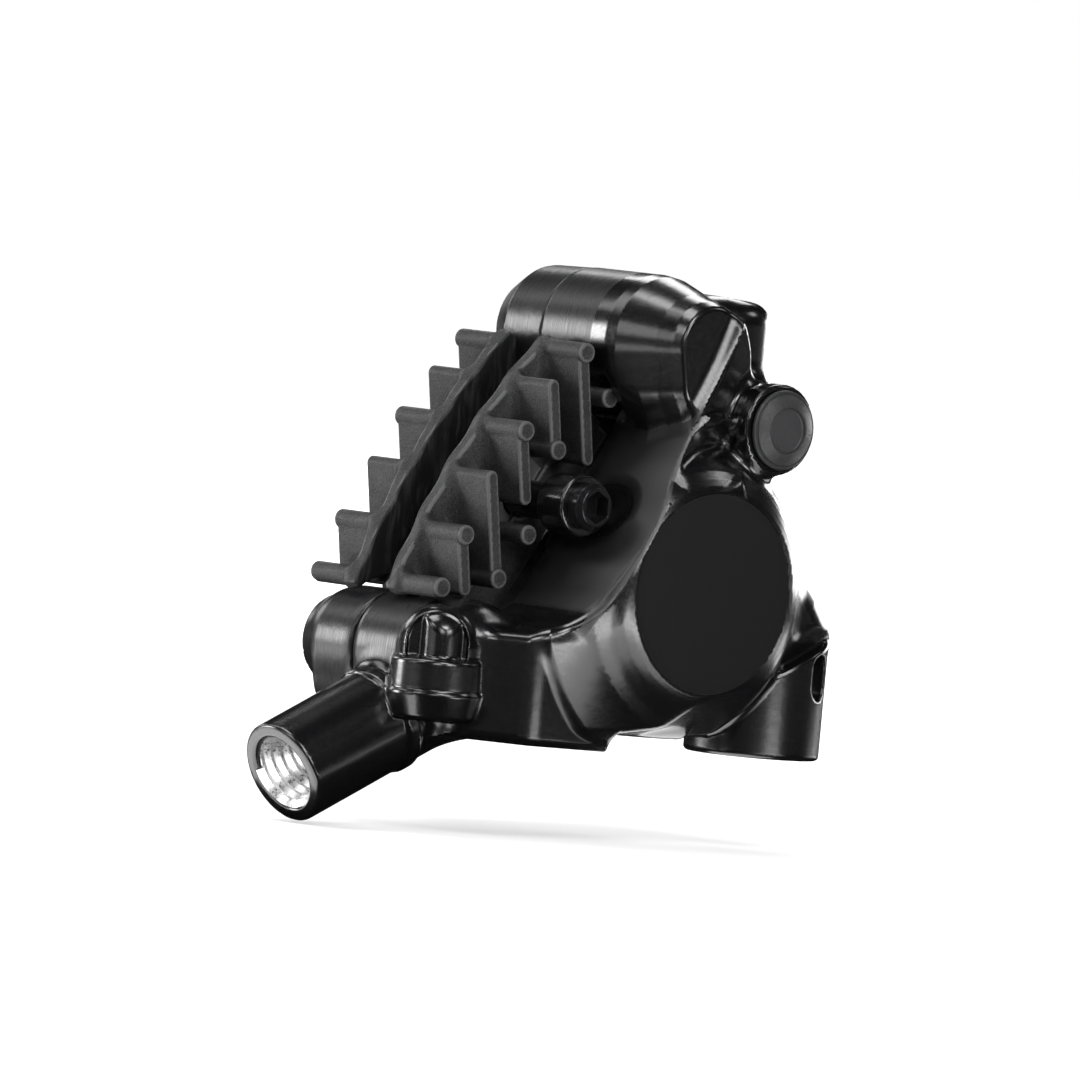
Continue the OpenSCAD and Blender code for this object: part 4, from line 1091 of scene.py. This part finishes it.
pads = Cast()
pads.add(pad_prism([(-13.5, -8.5), (13.5, -8.5), (13.5, 9.5), (-13.5, 9.5)],
                   6.6, plate_back, 0.15), 0)
pads.keep(lambda x, y, z: np.hypot(pad_t(x, z), pad_r(x, z)) - 15.6, 0.15)
crown = [(t / 2, arc_top(t / 2)) for t in range(31, -36, -2)] + [(-17.7, arc_top(-17.7))]
pads.add(wavy_plate([(-17.7, 21.4), (-13.5, 18.6), (-13.5, 10.7), (13, 10.7), (13, 18.6),
                     (15.5, 21.4)] + crown, 7.0, 8.6, 0.22), 0.2)
pads.add(pad_prism([(-13.1, 6), (12.5, 6), (12.5, 14), (-13.1, 14)],
                   6.6, plate_back, 0.15), 0.2)
pin_places = [(12.9, 15.9), (-5, 15.4)]
for i, (t, length) in enumerate(zip(fin_tops, fin_lengths)):
    top = (t, arc_top(t) - fin_r)
    low_end = (top[0] + length * math.cos(fin_run), top[1] + length * math.sin(fin_run))
    fin = link(pad_point(*top), fin_r, pad_point(*low_end), fin_r, fin_front, fin_back, 0.22)
    pads.add(fin, 1.2)
    if i in (0, 2, 4, 5):
        pin_places.append((t, arc_top(t) - pin_r))
    if i in (1, 3):
        pin_places.append(low_end)
for place in pin_places:
    pads.add(rod_y(pad_point(*place), pin_r, 0.65, fin_back, 0.12), 0.15)
pads.cut(pad_prism([(-4.05, 7.5), (4.05, 7.5), (4.05, 16.2), (2.45, 17.85), (-2.45, 17.85),
                    (-4.05, 16.2)], plate_back, 9.7, 0.05), 0.1)
pads.cut(rod_y(axle_at, axle_bore_r, -2, 9.7, 0), 0.1)
outer_fins = cast_piece("outer_fins", pads, (-33, 0, 8), (8, 9.5, 50), 0.18, 180000,
                        blasted.material)
# The inner pad's cooling plate is the same one, mirrored in the rotor's plane
mirrored = outer_fins.data.copy()
flip = Matrix.Diagonal((1, -1, 1, 1))
mirrored.transform(Matrix.Translation((0, 2 * parting_y / 1000, 0)) @ flip)
mirrored.flip_normals()
at = points_mm(mirrored)
at[:, 1] = 2 * parting_y - at[:, 1]
true_normals(mirrored, pads, at, (1, -1, 1))
inner_fins = in_scene("inner_fins", mirrored)
for side, piece in (("outer", outer_fins), ("inner", inner_fins)):
    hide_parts(side + "_pad_fins")
    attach(piece, side + "_pad")

# Pad spring and axle: a bent spring-steel leaf between the pads, and the steel screw that the pads
# hang on, with a chamfered head, a 3 mm hexagon socket and a snap clip on its far end.
spring_finish = Finish("spring_steel_finish", (0.5, 0.5, 0.5), 0.28, metallic=1.0)
rolled_grain = (1, 8, 1)
rolled = spring_finish.noise(1.5, 3.0, rolled_grain)
spring_finish.set("Roughness", spring_finish.rough(rolled, 0.22, 0.36))
spring_finish.relief((spring_finish.noise(2.0, 3.0, rolled_grain), 0.003))
dress(spring_finish, "pad_spring", "axle_clip")
oiled = Finish("black_oxide_steel", (0.022, 0.022, 0.024), 0.26, metallic=0.7, specular=0.7)
oiled.set("Roughness", oiled.rough(oiled.noise(3.0), 0.17, 0.24))
oiled.relief((oiled.noise(5.0), 0.001))


def hexagon(at, flats, y0, y1):
    reach = flats / 2 / math.cos(math.pi / 6)
    turns = [k * math.pi / 3 for k in range(6)]
    return prism([(at[0] + reach * math.sin(a), at[1] + reach * math.cos(a)) for a in turns],
                 y0, y1, 0.05)


axle = Cast()
axle.add(rod_y(axle_at, 2.0, -4, 26.2, 0.4), 0)
axle.add(turned(axle_at, [(0, -5.8), (1.98, -5.8), (2.08, -5.76), (2.5, -5.2), (2.5, -3.8),
                          (0, -3.8)]), 0.1)
axle.cut(hexagon(axle_at, 3, -8, -3.9), 0.12)
axle.cut(turned(axle_at, [(1.5, 24.3), (3, 24.3), (3, 25), (1.5, 25), (1.5, 24.3)]), 0.05)
axle_piece = cast_piece("axle_screw", axle, (-16, -6.2, 23), (-10, 26.6, 28.6), 0.11, 40000,
                        oiled.material)
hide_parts("pad_axle")
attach(axle_piece, "caliper")

# Clamp screws: two socket head screws of black steel, 4 mm across the hexagon. Their heads are
# sunk in the inner half, and their threads pull the outer half against it.
head_r, head_edge = 4.2, 4.6
for side, at in (("rear", pad_point(20.75, 15)), ("front", front_boss_at)):
    screw = Cast()
    screw.add(rod_y(at, 2.5, -2.4, 18, 0.3), 0)
    screw.add(rod_y(at, head_r, 17.6, 20.6, 0.35), 0.1)
    screw.cut(hexagon(at, 4, 18.6, 23), 0.12)
    piece = cast_piece(side + "_screw", screw, (at[0] - head_edge, -2.8, at[1] - head_edge),
                       (at[0] + head_edge, 21, at[1] + head_edge), 0.2, 12000, oiled.material)
    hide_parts(side + "_clamp_screw")
    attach(piece, "caliper")

# Bleed parts: a rubber cap with a bevelled rim over the steel nipple, the valve screw in the
# upright boss, and the plug that closes the cross drilling of the inner half.
nipple_finish = Finish("plated_steel", (0.55, 0.55, 0.53), 0.3, metallic=1.0)
nipple_finish.set("Roughness", nipple_finish.rough(nipple_finish.noise(3.0), 0.24, 0.4))
nipple_finish.relief((nipple_finish.noise(6.0), 0.004))
dress(nipple_finish, "bleed_nipple", "passage_plug")
dress(oiled, "bleed_screw")
cap_rubber = Finish("cap_rubber_finish", (0.035, 0.035, 0.037), 0.42)
sunk_face = cap_rubber.within(bleed_at, 2.4)
cap_rubber.set("Base Color", cap_rubber.mix(sunk_face, (0.02, 0.02, 0.021), (0.03, 0.03, 0.0315)))
cap_rubber.set("Roughness", cap_rubber.rough(cap_rubber.noise(5.0), 0.36, 0.5))
cap_rubber.relief((cap_rubber.noise(6.0, 2.0), 0.045))
cap_mesh = turned_mesh("bleed_cap_skin", [
    (0.0, 0.62), (2.25, 0.62), (2.35, 0.7), (2.45, 0.96), (2.58, 1.0), (2.72, 0.95), (3.7, 0.58),
    (3.8, 0.5), (3.86, 0.36), (4.1, 0.34), (4.22, 0.26), (4.25, 0.1), (4.25, 0.0), (2.8, 0.0),
    (2.8, -1.6), (2.2, -1.6), (2.2, 0.1), (0.0, 0.1)], round_sides, cap_rubber.material)
cap_seat = (bleed_at[0], -11, bleed_at[1])
cap_piece = tidy_piece("bleed_cap_skin", stand(cap_mesh, cap_seat, (0, -1, 0)), 24)
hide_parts("bleed_cap")
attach(cap_piece, "bleed_cap")
